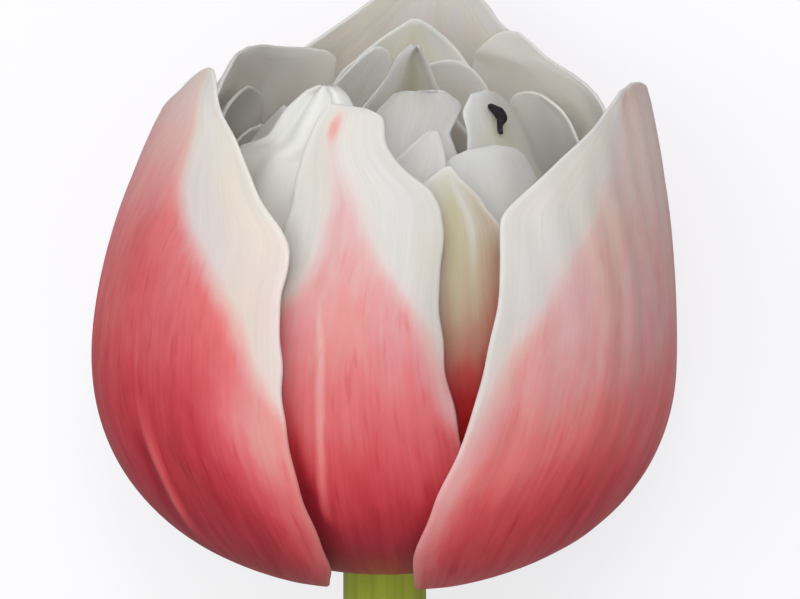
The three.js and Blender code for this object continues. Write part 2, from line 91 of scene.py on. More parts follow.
def curve(stations):
    """A smooth curve through stations [x, y], as a function of x."""
    xs, ys = np.array(stations, float).T
    slope = np.diff(ys) / np.diff(xs)
    tangent = np.concatenate([slope[:1], np.zeros(len(xs) - 2), slope[-1:]])
    for i in range(1, len(xs) - 1):
        before, after = slope[i - 1], slope[i]
        tangent[i] = 0 if before * after <= 0 else 2 * before * after / (before + after)

    def at(x):
        i = np.clip(np.searchsorted(xs, x, side="left") - 1, 0, len(xs) - 2)
        width = xs[i + 1] - xs[i]
        t = np.clip((x - xs[i]) / width, 0, 1)
        value = ys[i] * (1 + 2 * t) * (1 - t) ** 2 + ys[i + 1] * t * t * (3 - 2 * t)
        return value + width * (tangent[i] * t * (1 - t) ** 2 - tangent[i + 1] * t * t * (1 - t))

    return at


print("a soft step at its middle:", smooth(0, 1, 0.5))

# %% [markdown]
# The side view of a ring: it swells out of the receptacle at the top of the stem like the bottom of an
# apple, is widest at the belly, and then closes towards the mouth. Each ring further in is narrower,
# starts higher and closes more steeply. A share says how far up the petal a point lies, from its root at
# 0 to full length at 1.

# %% The rings
BELLY_RADIUS, BELLY_HEIGHT, ROOT_RADIUS, UPPER_LENGTH = 28.4, 20.5, 4.8, 32.0  # mm, outermost ring
CLOSING, CLOSING_QUICKNESS = 18.0, 1.3  # degrees, and how early a petal has closed by them
BELLY_STEP, CLOSING_STEP, ROOT_RISE, ROOT_STEP = 2.5, 3.2, 1.5, 0.25  # what each ring further in changes
BELLY_SHARE, FULLNESS = 0.5, 2.2  # where the belly is, and how full it is: 2 makes an ellipse
SHOULDER_DROP, SHOULDER_FROM, SHOULDER_WIDTH = 0.3, 4.0, 16.0  # mm
HOODED_SHARES, OPENED_SHARES = (0.75, 1.05), (0.6, 1)  # where a hood hangs over, and where a petal opens
RING_STEPS = 24  # from the belly to the tip


def ring_profile(ring, share, hood=0.0, opened=0.0):
    """Radius and height in mm, and the height that a tip would have if it neither opened nor hung over."""
    belly = BELLY_RADIUS - BELLY_STEP * ring
    root = ROOT_RADIUS - ROOT_STEP * ring
    turn = np.pi / 2 * np.clip(share / BELLY_SHARE, 0, 1)
    low_radius = root + (belly - root) * np.sin(turn) ** (2 / FULLNESS)
    low_level = BELLY_HEIGHT - (BELLY_HEIGHT - ROOT_RISE * ring) * np.abs(np.cos(turn)) ** (2 / FULLNESS)
    sag = np.clip((low_radius - SHOULDER_FROM) / SHOULDER_WIDTH, 0, 1)
    low_height = low_level - SHOULDER_DROP * np.sin(np.pi * sag) ** 2

    step = np.maximum(share - BELLY_SHARE, 0) / RING_STEPS
    length = step * UPPER_LENGTH / (1 - BELLY_SHARE)
    radius, height, level = belly + 0 * step, BELLY_HEIGHT + 0 * step, BELLY_HEIGHT + 0 * step
    for i in range(RING_STEPS):
        here = BELLY_SHARE + step * (i + 0.5)
        upper = (here - BELLY_SHARE) / (1 - BELLY_SHARE)
        closed = np.sin(np.pi / 2 * np.minimum(1, CLOSING_QUICKNESS * upper))
        plain = (CLOSING + CLOSING_STEP * ring) * closed
        inwards = plain + hood * smooth(*HOODED_SHARES, here) - opened * smooth(*OPENED_SHARES, here)
        radius = radius - length * np.sin(inwards * DEGREE)
        height = height + length * np.cos(inwards * DEGREE)
        level = level + length * np.cos(plain * DEGREE)
    below = share < BELLY_SHARE
    lower, upper = (low_radius, low_height, low_level), (radius, height, level)
    return [np.where(below, *pair) for pair in zip(lower, upper)]


outer_mouth = ring_profile(0, np.float64(1.0))[0]
print("the outer ring's mouth is", round(2 * float(outer_mouth), 1), "mm wide")

# %% [markdown]
# Two more helpers for rings. One turns a radius, a height and an angle round the axis into a point, and
# it lets the mouth lean a little to the right, as in the photograph. The other finds the share that
# belongs to a height, by halving the range again and again.

# %% Places on a ring
MOUTH_LEAN, LEAN_CURVE = 3.3, 1.5  # mm at the mouth, and how late the lean sets in
HIGHEST_SHARE, HALVINGS = 1.4, 40


def around_axis(radius, height, azimuth, lean=0.0):
    """Points in the bloom's frame: x to the right, y along its axis and z to the front."""
    turn = azimuth * DEGREE
    return np.stack([radius * np.sin(turn) + lean, height + 0 * radius, radius * np.cos(turn)], axis=-1)


def on_ring(radius, height, azimuth):
    lean = MOUTH_LEAN * np.maximum(0, (height - BELLY_HEIGHT) / UPPER_LENGTH) ** LEAN_CURVE
    return around_axis(radius, height, azimuth, lean)


def share_at(ring, level):
    low, high = 0.0, HIGHEST_SHARE
    for _ in range(HALVINGS):
        middle = (low + high) / 2
        if ring_profile(ring, np.float64(middle))[2] < level:
            low = middle
        else:
            high = middle
    return (low + high) / 2


print("the outer ring reaches 50 mm of height at a share of", round(share_at(0, 50), 2))

# %% [markdown]
# The bloom lies on its side. Its axis runs along +Y and rises by 7 degrees, and its own weight flattens
# its underside a little where it rests on the table. This turns points in the bloom's frame into the
# frame's.

# %% How the bloom lies
PITCH = 7 * DEGREE
FLATTENED = 0.6  # mm
CAD_THICKNESS = 0.7  # mm

TURN = np.array([[1, 0, 0], [0, math.cos(PITCH), -math.sin(PITCH)], [0, math.sin(PITCH), math.cos(PITCH)]])
under_radius, under_height, _ = ring_profile(0.0, np.arange(0.2, 0.8, 0.002))
under_points = around_axis(-under_radius - CAD_THICKNESS / 2, under_height, 0.0) @ TURN.T
lowest = under_points[under_points[:, 2].argmin()]
BLOOM_PLACE = np.array([0, -lowest[1], -lowest[2] - FLATTENED])


def from_bloom(points):
    return points @ TURN.T + BLOOM_PLACE


print("the bloom's foot is at", BLOOM_PLACE.round(2), "mm")

# %% [markdown]
# This is the list of the petals, ring by ring. Each edge is a row of stations: a height in mm, and the
# angle round the axis, from the front towards the right. Both edges end at the tip. A petal can tuck an
# edge under its neighbour, ruffle its margins, pleat, open at its tip or hang over like a hood. The sizes
# are those of the CAD model, but for two petals' edges and two tips, which are finer here.

# %% The petals' edges
PETALS = {
    "outer_petal_left": dict(
        ring=0, opened=3, tuck_first=0.5,
        first=[[0, -112], [11, -112], [22, -122], [34, -121], [40, -111], [43, -100], [45, -90],
               [46.3, -84.5], [47.7, -79.5], [48.9, -75.5], [50.7, -69], [51.3, -66.5], [51.7, -63.8]],
        last=[[0, -75], [0.15, -62], [0.37, -43], [0.8, -30], [1.5, -21.2], [3.3, -16], [6.7, -12.6],
              [16.3, -16.4], [24.4, -19.4], [34.5, -22.5], [37.8, -22.6], [42, -31.7], [45.6, -41],
              [49.3, -54], [51.1, -59], [51.7, -61.5]],
    ),
    "outer_petal_right": dict(
        ring=0, tuck_last=0.5,
        first=[[0, 58], [0.15, 40], [0.37, 27], [0.8, 17.7], [1.5, 12], [3.3, 8.7], [8, 6.5], [14.3, 9.7],
               [19.6, 14], [24.4, 17], [33.6, 21.1], [40.8, 21.8], [43.8, 30], [46, 39], [48.4, 53],
               [49.8, 62.5]],
        last=[[0, 112], [11, 112], [22, 122], [34, 121], [41, 115], [45, 103], [47.5, 89], [49.1, 78],
              [49.8, 70]],
    ),
    "outer_petal_back": dict(
        ring=0,
        first=[[0, 116], [8, 114], [20, 114], [34, 121], [41, 130], [45, 142], [47.4, 153], [50.5, 161],
               [53, 168], [54.5, 175]],
        last=[[0, 244], [8, 246], [20, 246], [34, 237], [41, 225], [44, 215.5], [45.6, 208.5], [48, 199.5],
              [50.5, 191.5], [53, 185], [54.5, 179]],
    ),
    "second_petal_front": dict(
        ring=1,
        first=[[0, -34], [20, -31], [37, -29], [45.7, -30], [48.5, -29], [50.2, -26]],
        last=[[0, 30], [6, 24], [14, 19], [20, 16], [28.8, 11.5], [33.4, 10], [37.7, 10.8], [41, 10.3],
              [43, 7], [44.1, 2.5], [45.6, -3], [47, -6.5], [49.3, -9], [50, -14], [50.2, -21]],
    ),
    "second_petal_right": dict(
        ring=1.1,
        first=[[0, 38], [20, 29], [34, 29], [40, 38], [43, 50], [44, 56]],
        last=[[0, 80], [20, 84], [34, 84], [40, 74], [43, 65], [44, 60]],
    ),
    "second_petal_back_right": dict(
        ring=1.15,
        first=[[0, 92], [20, 90], [34, 88], [41, 91], [43.5, 95], [45, 105], [45.8, 119], [46.6, 131],
               [48, 138.5], [49, 144]],
        last=[[0, 156], [20, 163], [34, 163], [44, 161], [46.5, 158], [48.3, 153], [49, 149]],
    ),
    "second_petal_back_left": dict(
        ring=1.15,
        first=[[0, -162], [20, -160], [40, -160], [45, -159], [46.4, -154], [47.1, -146], [47.9, -136],
               [48.9, -124], [49.5, -113]],
        last=[[0, -92], [20, -84], [40, -80], [45, -81], [47.5, -84], [48.6, -91], [49.4, -101],
              [49.6, -108]],
    ),
    "second_petal_left": dict(
        ring=1.1,
        first=[[0, -86], [20, -78], [34, -77], [40, -70], [43, -62], [44, -58]],
        last=[[0, -40], [20, -37], [34, -37], [40, -43], [43, -50], [44, -54]],
    ),
    "third_petal_front_left": dict(
        ring=2, opened=6, ruffle=0.1, pleat=0.1, pleats=2.6,
        first=[[0, -58], [20, -62], [36, -66], [42, -64], [43.6, -61.5], [44.6, -54], [45.4, -50],
               [46.5, -48], [47.1, -46.5], [47.8, -45], [48.9, -42.5], [50.1, -38.5], [50.5, -35]],
        last=[[0, -16], [20, -14], [40, -14], [46, -17], [48.8, -21], [50.1, -27], [50.5, -32]],
    ),
    "third_petal_front": dict(
        ring=2,
        first=[[0, -8], [24, -6], [36, -4], [42, 3], [44.2, 12]],
        last=[[0, 36], [10, 36], [24, 34], [34, 31.5], [37.5, 30.5], [39.4, 28.5], [40.3, 26.3], [41.2, 24],
              [42.2, 20.8], [43, 18], [44.2, 14.5]],
    ),
    "third_petal_right": dict(
        ring=2.1, ruffle=0.1,
        first=[[0, 48], [20, 46], [34, 47], [39.6, 54], [41.7, 62], [42.3, 69]],
        last=[[0, 92], [20, 98], [34, 97], [39.6, 89], [41.7, 80], [42.3, 74]],
    ),
    "third_petal_back_right": dict(
        ring=2.1, ruffle=0.1, phase=2,
        first=[[0, 102], [20, 104], [34, 105], [40, 108], [42.6, 113], [43.6, 120], [43.9, 126]],
        last=[[0, 142], [20, 148], [34, 148], [40, 145], [42.6, 141], [43.6, 136], [43.9, 131]],
    ),
    "third_petal_back": dict(
        ring=2.1,
        first=[[0, 154], [20, 154], [38, 153], [44.9, 156], [48, 165], [50, 174], [50.6, 178]],
        last=[[0, 206], [20, 206], [38, 207], [44.9, 203], [48, 194], [50, 185], [50.6, 182]],
    ),
    "third_petal_back_left": dict(
        ring=2.25, ruffle=0.1,
        first=[[0, -148], [20, -148], [32, -147], [38, -140], [40, -133], [40.5, -128]],
        last=[[0, -108], [20, -104], [32, -104], [38, -110], [40, -117], [40.5, -122]],
    ),
    "third_petal_left": dict(
        ring=1.75,
        first=[[0, -98], [8, -102], [20, -116], [36, -134], [41, -133], [43.6, -127], [45, -119],
               [45.6, -113]],
        last=[[0, -74], [20, -76], [34, -80], [40, -86], [43.5, -91], [45.1, -98], [45.6, -106]],
    ),
    "fourth_petal_front": dict(
        ring=2.7, ruffle=0.1,
        first=[[0, -30], [20, -32], [36, -26], [42, -12], [45.1, -1], [46.2, 4.5], [46.7, 8]],
        last=[[0, 4], [20, 12], [38, 16], [44, 15], [45.8, 13.5], [46.7, 11.5]],
    ),
    "fourth_petal_front_right": dict(
        ring=3.1,
        first=[[0, 10], [20, 14], [36, 12], [42, 13], [43.8, 18], [44.4, 27]],
        last=[[0, 54], [20, 58], [36, 60], [41, 60], [43.4, 53], [44.4, 40]],
    ),
    "fourth_petal_hooded": dict(
        ring=3.7, hood=38, pleat=0.12,
        first=[[0, -24], [20, -26], [40, -25], [45.5, -24], [47, -28], [49, -36], [50.6, -36],
               [51.3, -12]],
        last=[[0, 28], [20, 29], [38, 28], [45.5, 27], [47, 36], [49, 52], [50.6, 52], [51.3, 32]],
    ),
    "fourth_petal_right": dict(
        ring=3.1,
        first=[[0, 66], [20, 70], [33, 72], [37.5, 80], [39.2, 89]],
        last=[[0, 116], [20, 122], [33, 122], [37.5, 111], [39.2, 98]],
    ),
    "fourth_petal_back_right": dict(
        ring=3.1,
        first=[[0, 124], [20, 130], [36, 132], [42, 138], [44.8, 142], [46.6, 149], [47.2, 156]],
        last=[[0, 170], [20, 184], [36, 184], [43, 181], [45.6, 175], [46.8, 168], [47.2, 161]],
    ),
    "fourth_petal_back_left": dict(
        ring=3.1,
        first=[[0, -172], [20, -170], [36, -170], [43, -173], [46.5, -172], [48.1, -168], [48.7, -163]],
        last=[[0, -118], [20, -116], [36, -124], [42, -140], [45.7, -148], [48, -155], [48.7, -159]],
    ),
    "fourth_petal_left": dict(
        ring=3.1,
        first=[[0, -108], [20, -104], [36, -104], [42, -98], [45, -88], [46, -82]],
        last=[[0, -54], [20, -48], [36, -46], [42, -54], [45, -66], [46, -74]],
    ),
    "petaloid_stamen": dict(
        ring=3.7,
        first=[[0, 38], [20, 37], [38, 33.5], [44, 31.5], [47, 33], [48.4, 41]],
        last=[[0, 64], [20, 78], [38, 86], [43, 86], [46, 79], [47.6, 68], [48.4, 56]],
    ),
    "inner_petal_back": dict(
        ring=4.3, pleat=0.1,
        first=[[0, 140], [20, 134], [36, 134], [41.4, 145], [45.6, 156], [48.6, 165], [50.2, 175]],
        last=[[0, 214], [20, 222], [36, 222], [42, 208], [46.1, 197], [48.8, 194], [50.2, 184]],
    ),
    "inner_petal_left": dict(
        ring=4.3, pleat=0.1,
        first=[[0, -118], [20, -124], [36, -126], [42, -112], [45, -94], [46, -84]],
        last=[[0, -44], [20, -36], [36, -34], [42, -46], [45, -62], [46, -72]],
    ),
    "inner_petal_right": dict(
        ring=4.3, pleat=0.1,
        first=[[0, 60], [20, 58], [36, 60], [42, 70], [44, 84]],
        last=[[0, 124], [20, 122], [36, 118], [42, 108], [44, 94]],
    ),
}
print("petals:", len(PETALS))

# %% [markdown]
# A point of a petal is found by how far along it lies, from root to tip, and how far across, from -1 at
# its first edge to 1 at its last. Its height picks the angles of the two edges, and its offset says how
# many rings further in it lies than its petal's own ring: that is how an edge tucks under, and how a
# margin ruffles.

# %% A petal's surface
PLAIN = dict(
    hood=0.0, opened=0.0, tuck_first=0.0, tuck_last=0.0, ruffle=0.0, phase=0.0, pleat=0.0, pleats=1.5,
)
TIP_CROWDING, CROWDING_PULL, ROOT_CROWDING = 1.25, 0.12, 0.92  # a petal's rows stand closer at its two ends
TUCK_STARTS, TUCK_ENDS, RUFFLE_STARTS = (0.08, 0.3), (0.6, 0.85), (0.3, 0.85)  # along the petal


def petal_surface(petal, along, across):
    """Points in the bloom's frame, in mm, at a grid of along and across."""
    top = share_at(petal["ring"], petal["first"][-1][0])
    share = top * (1 - (1 - along) ** TIP_CROWDING * (1 - CROWDING_PULL * along)) ** ROOT_CROWDING
    rise, side = smooth(*RUFFLE_STARTS, along), np.abs(across)
    tuck = np.where(across < 0, petal["tuck_first"], petal["tuck_last"])
    offset = tuck * side**2 * smooth(*TUCK_STARTS, along) * (1 - smooth(*TUCK_ENDS, along))
    offset = offset + petal["ruffle"] * rise * side**2 * np.sin(4 * np.pi * along + petal["phase"] + across)
    offset = offset + petal["pleat"] * rise * np.sin(np.pi * petal["pleats"] * across + petal["phase"])
    level = ring_profile(petal["ring"], share)[2]
    radius, height, _ = ring_profile(petal["ring"] + offset, share, petal["hood"], petal["opened"])
    first, last = curve(petal["first"])(level), curve(petal["last"])(level)
    return on_ring(radius, height, first + (last - first) * (across + 1) / 2)


def grid(rows, columns, margin=(0.004, 0.012, 0.03)):
    """Along and across of a grid whose lines crowd together at the rim, so that the rim can be round."""
    near = np.array([0.0, *margin])
    inner = np.linspace(near[-1], 1 - near[-1], rows)[1:-1]
    along = np.concatenate([near, inner, 1 - near[::-1]])
    inner = np.linspace(2 * near[-1] - 1, 1 - 2 * near[-1], columns)[1:-1]
    across = np.concatenate([2 * near - 1, inner, 1 - 2 * near[::-1]])
    return np.meshgrid(along, across, indexing="ij")


print("grid of 4 by 4 with its margins:", grid(4, 4)[0].shape)

# %% [markdown]
# Tools that measure such a grid of points: which way each step leads, which way the surface faces, how
# wide each row is, and how far a point lies from the rim. The last tool is a smooth random surface, a sum
# of seven waves. It makes the small swellings and folds that no two petals share, and its seed gives the
# same ones each time.

# %% Measuring and wandering
WAVES, WAVE_REACH, WAVE_HEIGHT = 7, (0.6, 1.3), 3.2


def unit(vectors):
    return vectors / np.maximum(np.linalg.norm(vectors, axis=-1, keepdims=True), 1e-9)


def steps(points, axis):
    """The distance from each point of a grid to the next one."""
    return np.linalg.norm(np.diff(points, axis=axis), axis=-1)


def sideways(points, across):
    return np.gradient(points, across[0], axis=1)


def normals(points, along, across):
    return unit(np.cross(sideways(points, across), np.gradient(points, along[:, 0], axis=0)))


def rim_distance(points):
    """How far each point of a grid lies from the grid's border, in mm."""
    rows, columns = points.shape[:2]
    from_first = np.concatenate([np.zeros((rows, 1)), np.cumsum(steps(points, 1), axis=1)], axis=1)
    from_root = np.concatenate([np.zeros((1, columns)), np.cumsum(steps(points, 0), axis=0)], axis=0)
    to_last, to_tip = from_first[:, -1:] - from_first, from_root[-1:] - from_root
    return np.minimum.reduce([from_first, to_last, from_root, to_tip])


def wander(u, v, seed, wide, tall):
    """A smooth random surface between about -1 and 1, with features wide mm across and tall mm along."""
    rng = np.random.default_rng(seed)
    total = 0 * u
    for _ in range(WAVES):
        turn, phase = rng.uniform(0, 2 * np.pi, 2)
        reach = rng.uniform(*WAVE_REACH)
        way = u * np.cos(turn) / wide + v * np.sin(turn) / tall
        total = total + np.sin(2 * np.pi * reach * way + phase)
    return total / WAVE_HEIGHT


print("one wandering height:", round(float(wander(np.float64(3.0), 5.0, 1, 15, 34)), 2))

# %% [markdown]
# Every piece is a mesh that stands for one node of the model, so one function makes them all. It gives
# the mesh its values for each point and its finish, hides the node that it replaces, and hangs it on the
# body that it rides on.

# %% A piece
def make_piece(node, points, faces, values, finish):
    """A smooth mesh with points in mm. values are {name: a number or a vector for each point}."""
    mesh = bpy.data.meshes.new(f"{node}.grown")
    mesh.from_pydata((points * MM).tolist(), [], faces)
    mesh.shade_smooth()
    for key, field in values.items():
        kind, data_name = ("FLOAT_VECTOR", "vector") if field.ndim == 2 else ("FLOAT", "value")
        mesh.attributes.new(key, kind, "POINT").data.foreach_set(data_name, field.ravel())
    mesh.materials.append(finish)
    piece = bpy.data.objects.new(f"{node}.grown", mesh)
    bpy.context.scene.collection.objects.link(piece)
    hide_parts(node)
    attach(piece, "root")
    return piece


print("make_piece() is ready")

# %% [markdown]
# A petal is half a millimetre thick, and thinner towards its margin, where the light shines through. Its
# two faces meet in a round rim, and where it would sink into the table it lies flat on it. The mesh is
# one closed skin, and each corner keeps what the finishes need: its place on the petal in mm, how much
# red pigment it holds, how green it is, and how much of the pale margin's tone it has, which is partly a
# painted highlight and painted light. A second map lays the two faces side by side, for baking.

# %% From a surface to a closed skin
RIM_ROUND = 0.4  # mm
UV_EDGE, UV_WIDTH, UV_BACK = 0.01, 0.48, 0.5  # where a face starts in the map, how wide it is, and the back


def rounded(thick, rim):
    """Thins a sheet to nothing at its rim, as a round edge does."""
    return thick * np.sqrt(1 - (1 - np.clip(rim / RIM_ROUND, 0, 1)) ** 2)


def sheet_faces(points, along, across, thick):
    """The outer and the inner face round a middle surface, both above the table."""
    half = normals(points, along, across) * (thick / 2)[..., None]
    outer, inner = points + half, points - half
    outer[..., 2] = np.maximum(outer[..., 2], 0)
    inner[..., 2] = np.maximum(inner[..., 2], thick)
    return outer, inner


def skin(node, faces, along, across, values, finish):
    """A closed piece of two faces that share their border. values are {name: (on outer, on inner)}."""
    rows, columns = along.shape
    border = np.zeros((rows, columns), bool)
    border[[0, -1], :] = border[:, [0, -1]] = True

    def joined(on_outer, on_inner):
        return np.concatenate([on_outer.reshape(-1, *on_outer.shape[2:]), on_inner[~border]])

    front = np.arange(rows * columns).reshape(rows, columns)
    back = front.copy()
    back[~border] = rows * columns + np.arange((~border).sum())
    quads = []
    for index, order in ((front, 1), (back, -1)):
        ring = [index[:-1, :-1], index[:-1, 1:], index[1:, 1:], index[1:, :-1]]
        quads.append(np.stack(ring[::order], axis=-1).reshape(-1, 4))
    corners = np.concatenate(quads)
    values = {key: joined(*pair) for key, pair in values.items()}
    piece = make_piece(node, joined(*faces), corners.tolist(), values, finish)
    uv = np.stack([(across + 1) / 2, along], axis=-1)
    loops = joined(uv, uv)[corners.ravel()]
    loops[:, 0] = UV_EDGE + UV_WIDTH * loops[:, 0]
    loops[len(loops) // 2:, 0] += UV_BACK
    piece.data.uv_layers.new(name="OFBake").data.foreach_set("uv", loops.astype(np.float32).ravel())
    return piece


print("skin() is ready")

# %% [markdown]
# Finishes next. Colours are written as sRGB hex values, as a painter's chart gives them, and one function
# turns them into the linear numbers that light is added up in. Another function adds a node with its
# settings and its links.
#
# Some sockets go by number. A colour mix has its factor in 0 and its colours in 6 and 7. A map range has
# its value in 0, the range that it comes from in 1 and 2, and the range that it goes to in 3 and 4.

# %% Colour and node helpers
def linear(colour):
    parts = [int(colour[i : i + 2], 16) / 255 for i in (1, 3, 5)]
    return (*[p / 12.92 if p <= 0.04045 else ((p + 0.055) / 1.055) ** 2.4 for p in parts], 1.0)


def fill(tree, node, inputs):
    """Gives each socket a number, a colour, an output, or the first output in use of another node."""
    for socket, value in inputs.items():
        if isinstance(value, bpy.types.Node):
            value = next(output for output in value.outputs if output.enabled)
        if isinstance(value, bpy.types.NodeSocket):
            tree.links.new(value, node.inputs[socket])
        else:
            node.inputs[socket].default_value = linear(value) if isinstance(value, str) else value


def add(tree, kind, inputs=None, stops=(), **settings):
    """Adds a node with its settings and its sockets' inputs. stops colour a ramp."""
    node = tree.nodes.new("ShaderNode" + kind)
    for key, value in settings.items():
        setattr(node, key, value)
    fill(tree, node, inputs or {})
    for i, (position, colour) in enumerate(stops):
        elements = node.color_ramp.elements
        element = elements[i] if i < 2 else elements.new(position)
        element.position, element.color = position, linear(colour)
    return node


def new_finish(name):
    """An empty material, its node tree and its main shader."""
    material = bpy.data.materials.new(name)
    material.use_nodes = True
    tree = material.node_tree
    tree.nodes.clear()
    shader = add(tree, "BsdfPrincipled")
    add(tree, "OutputMaterial", {"Surface": shader})
    return material, tree, shader


print("mid grey is", round(linear("#808080")[0], 3), "in linear light")

# %% [markdown]
# A tulip petal is living tissue under a thin wax cuticle: satin, not shiny, with an index near 1.42.
# Light enters it and scatters for a few millimetres. Its cells stand in long rows from root to tip, so
# colour and light both run in fine streaks. The flame is red pigment in the outer cells, which feathers
# out along the rows.
#
# The rows are 0.1 mm apart, too fine to show. They are drawn as streaks 1.5 mm and 0.45 mm wide and 22 mm
# long, with a few darker dashes. Over several millimetres the tissue also turns a little warmer or
# cooler.

# %% What petals share
PETAL_PATTERNS = {  # mm across, mm along, detail, roughness
    "row": (1.5, 22.0, 2.0, 0.6), "fine row": (0.45, 22.0, 1.0, 0.6), "fleck": (1.7, 4.25, 3.0, 0.5),
    "dash": (0.8, 6.0, 1.0, 0.5), "patch": (9.0, 18.0, 1.0, 0.5),
}
ROW_SHARE = 0.62  # of the broad rows, and the fine rows have the rest
BARE_CONTRAST, FULL_CONTRAST_FROM = 0.12, 0.25  # of the streaks, and the pigment from which they are full
FLECK_SHARE, FLECK_HEIGHT = 0.6, 0.35  # of what the rows have, in colour and in relief
DASHES = {1: 0.62, 2: 0.74, 3: 0.0, 4: 0.22}  # from their noise to how much pigment they add
GREEN_CONTRAST, ROW_CONTRAST = 1.2, 0.22  # how much the rows change the green, and the lightness
WARMER, COOLER = (0.35, "#FFF9F3"), (0.65, "#FAF9FF")  # the patches' noise and the tint that goes with it
PETAL_GLOSS = {1: 0.3, 2: 0.7, 3: 0.43, 4: 0.57}  # from the rows' noise to a roughness
PETAL_BUMP = {"Strength": 0.5, "Distance": 0.12 * MM}
PETAL_TISSUE = {
    "IOR": 1.42, "Specular IOR Level": 0.3, "Sheen Weight": 0.03, "Sheen Roughness": 0.4,
    "Subsurface Weight": 0.6, "Subsurface Radius": (1.0, 0.85, 0.75), "Subsurface Scale": 3.0 * MM,
}


def petal_finish(name, stops, green, rim, contrast):
    """stops run from unpigmented tissue to full pigment, and rim is the margin's pale tone, partly painted
    highlight and painted light.
    """
    material, tree, shader = new_finish(name)
    place = add(tree, "Attribute", attribute_name="place").outputs["Vector"]
    pigment, greenness, margin = [
        add(tree, "Attribute", attribute_name=key).outputs["Fac"] for key in ("pigment", "green", "margin")
    ]
    pattern = {}
    for key, (wide, tall, detail, roughness) in PETAL_PATTERNS.items():
        spot = add(tree, "VectorMath", {0: place, 1: (1 / wide, 1 / tall, 1.0)}, operation="MULTIPLY")
        grain = {"Vector": spot, "Scale": 1.0, "Detail": detail, "Roughness": roughness}
        pattern[key] = add(tree, "TexNoise", grain)
    rows = add(tree, "Math", {0: pattern["row"], 1: ROW_SHARE}, operation="MULTIPLY")
    rows = add(tree, "Math", {0: pattern["fine row"], 1: 1 - ROW_SHARE, 2: rows}, operation="MULTIPLY_ADD")
    streaks = add(tree, "Math", {0: rows, 1: 0.5}, operation="SUBTRACT")
    flecks = add(tree, "Math", {0: pattern["fleck"], 1: 0.5}, operation="SUBTRACT")
    # Streaks, flecks and dashes change the pigment, but hardly where the tissue is bare.
    room = add(tree, "MapRange", {0: pigment, 1: 0.0, 2: FULL_CONTRAST_FROM, 3: BARE_CONTRAST, 4: 1.0})
    strong = add(tree, "Math", {0: room, 1: contrast}, operation="MULTIPLY")
    weak = add(tree, "Math", {0: strong, 1: FLECK_SHARE}, operation="MULTIPLY")
    dash = add(tree, "MapRange", {0: pattern["dash"], **DASHES})
    total = add(tree, "Math", {0: streaks, 1: strong, 2: pigment}, operation="MULTIPLY_ADD")
    total = add(tree, "Math", {0: flecks, 1: weak, 2: total}, operation="MULTIPLY_ADD")
    total = add(tree, "Math", {0: dash, 1: strong, 2: total}, operation="MULTIPLY_ADD")
    red = add(tree, "ValToRGB", {0: total}, stops)
    green_rows = add(tree, "Math", {0: streaks, 1: GREEN_CONTRAST, 2: 1.0}, operation="MULTIPLY_ADD")
    green_share = add(tree, "Math", {0: greenness, 1: green_rows}, operation="MULTIPLY", use_clamp=True)
    colour = add(tree, "Mix", {0: green_share, 6: red, 7: green}, data_type="RGBA")
    # Each row of cells is a little lighter or darker than the next, and the tissue is warmer in some places.
    tint = add(tree, "ValToRGB", {0: pattern["patch"]}, (WARMER, COOLER))
    tinted = add(tree, "Mix", {0: 1.0, 6: colour, 7: tint}, data_type="RGBA", blend_type="MULTIPLY")
    shade = add(tree, "Math", {0: streaks, 1: ROW_CONTRAST, 2: 1.0}, operation="MULTIPLY_ADD")
    shaded = add(tree, "VectorMath", {0: tinted, "Scale": shade}, operation="SCALE")
    height = add(tree, "Math", {0: pattern["fleck"], 1: FLECK_HEIGHT, 2: rows}, operation="MULTIPLY_ADD")
    fill(tree, shader, {
        "Base Color": add(tree, "Mix", {0: margin, 6: shaded, 7: rim}, data_type="RGBA"),
        "Roughness": add(tree, "MapRange", {0: pattern["row"], **PETAL_GLOSS}),
        "Normal": add(tree, "Bump", {"Height": height, **PETAL_BUMP}),
        **PETAL_TISSUE,
    })
    return material


print("streaks, mm wide:", [wide for wide, *_ in PETAL_PATTERNS.values()])

# %% [markdown]
# Three finishes come from it. The two outer rings are flamed, from bare tissue through pink to the
# crimson of the root. The third ring is paler and greener, with a brownish red low down, and the petals
# inside it are nearly white.

# %% Petal finishes
FLAMED = petal_finish(
    "tulip petal, flamed",
    [(0.0, "#DEDAD1"), (1.0, "#9A1C2C"), (0.12, "#E6D3CB"), (0.25, "#EABAB4"), (0.4, "#EB9C9B"),
     (0.55, "#E97779"), (0.7, "#D8565C"), (0.82, "#C53A46"), (0.92, "#AC2838")],
    green="#B9B67C", rim="#E9E5DC", contrast=0.26,
)
PALE = petal_finish(
    "tulip petal, pale",
    [(0.0, "#E0E1D6"), (1.0, "#B01C22"), (0.15, "#D0C3AA"), (0.35, "#C29A84"), (0.6, "#BE524C"),
     (0.8, "#B63034")],
    green="#C9C79A", rim="#EFEDE5", contrast=0.24,
)
INNER = petal_finish(
    "tulip petal, inner",
    [(0.0, "#D8D6D0"), (1.0, "#8A4340"), (0.2, "#D0C2BA"), (0.5, "#BE9C92")],
    green="#CACAA5", rim="#EDEBE5", contrast=0.16,
)
print("petal finishes:", FLAMED.name, "/", PALE.name, "/", INNER.name)
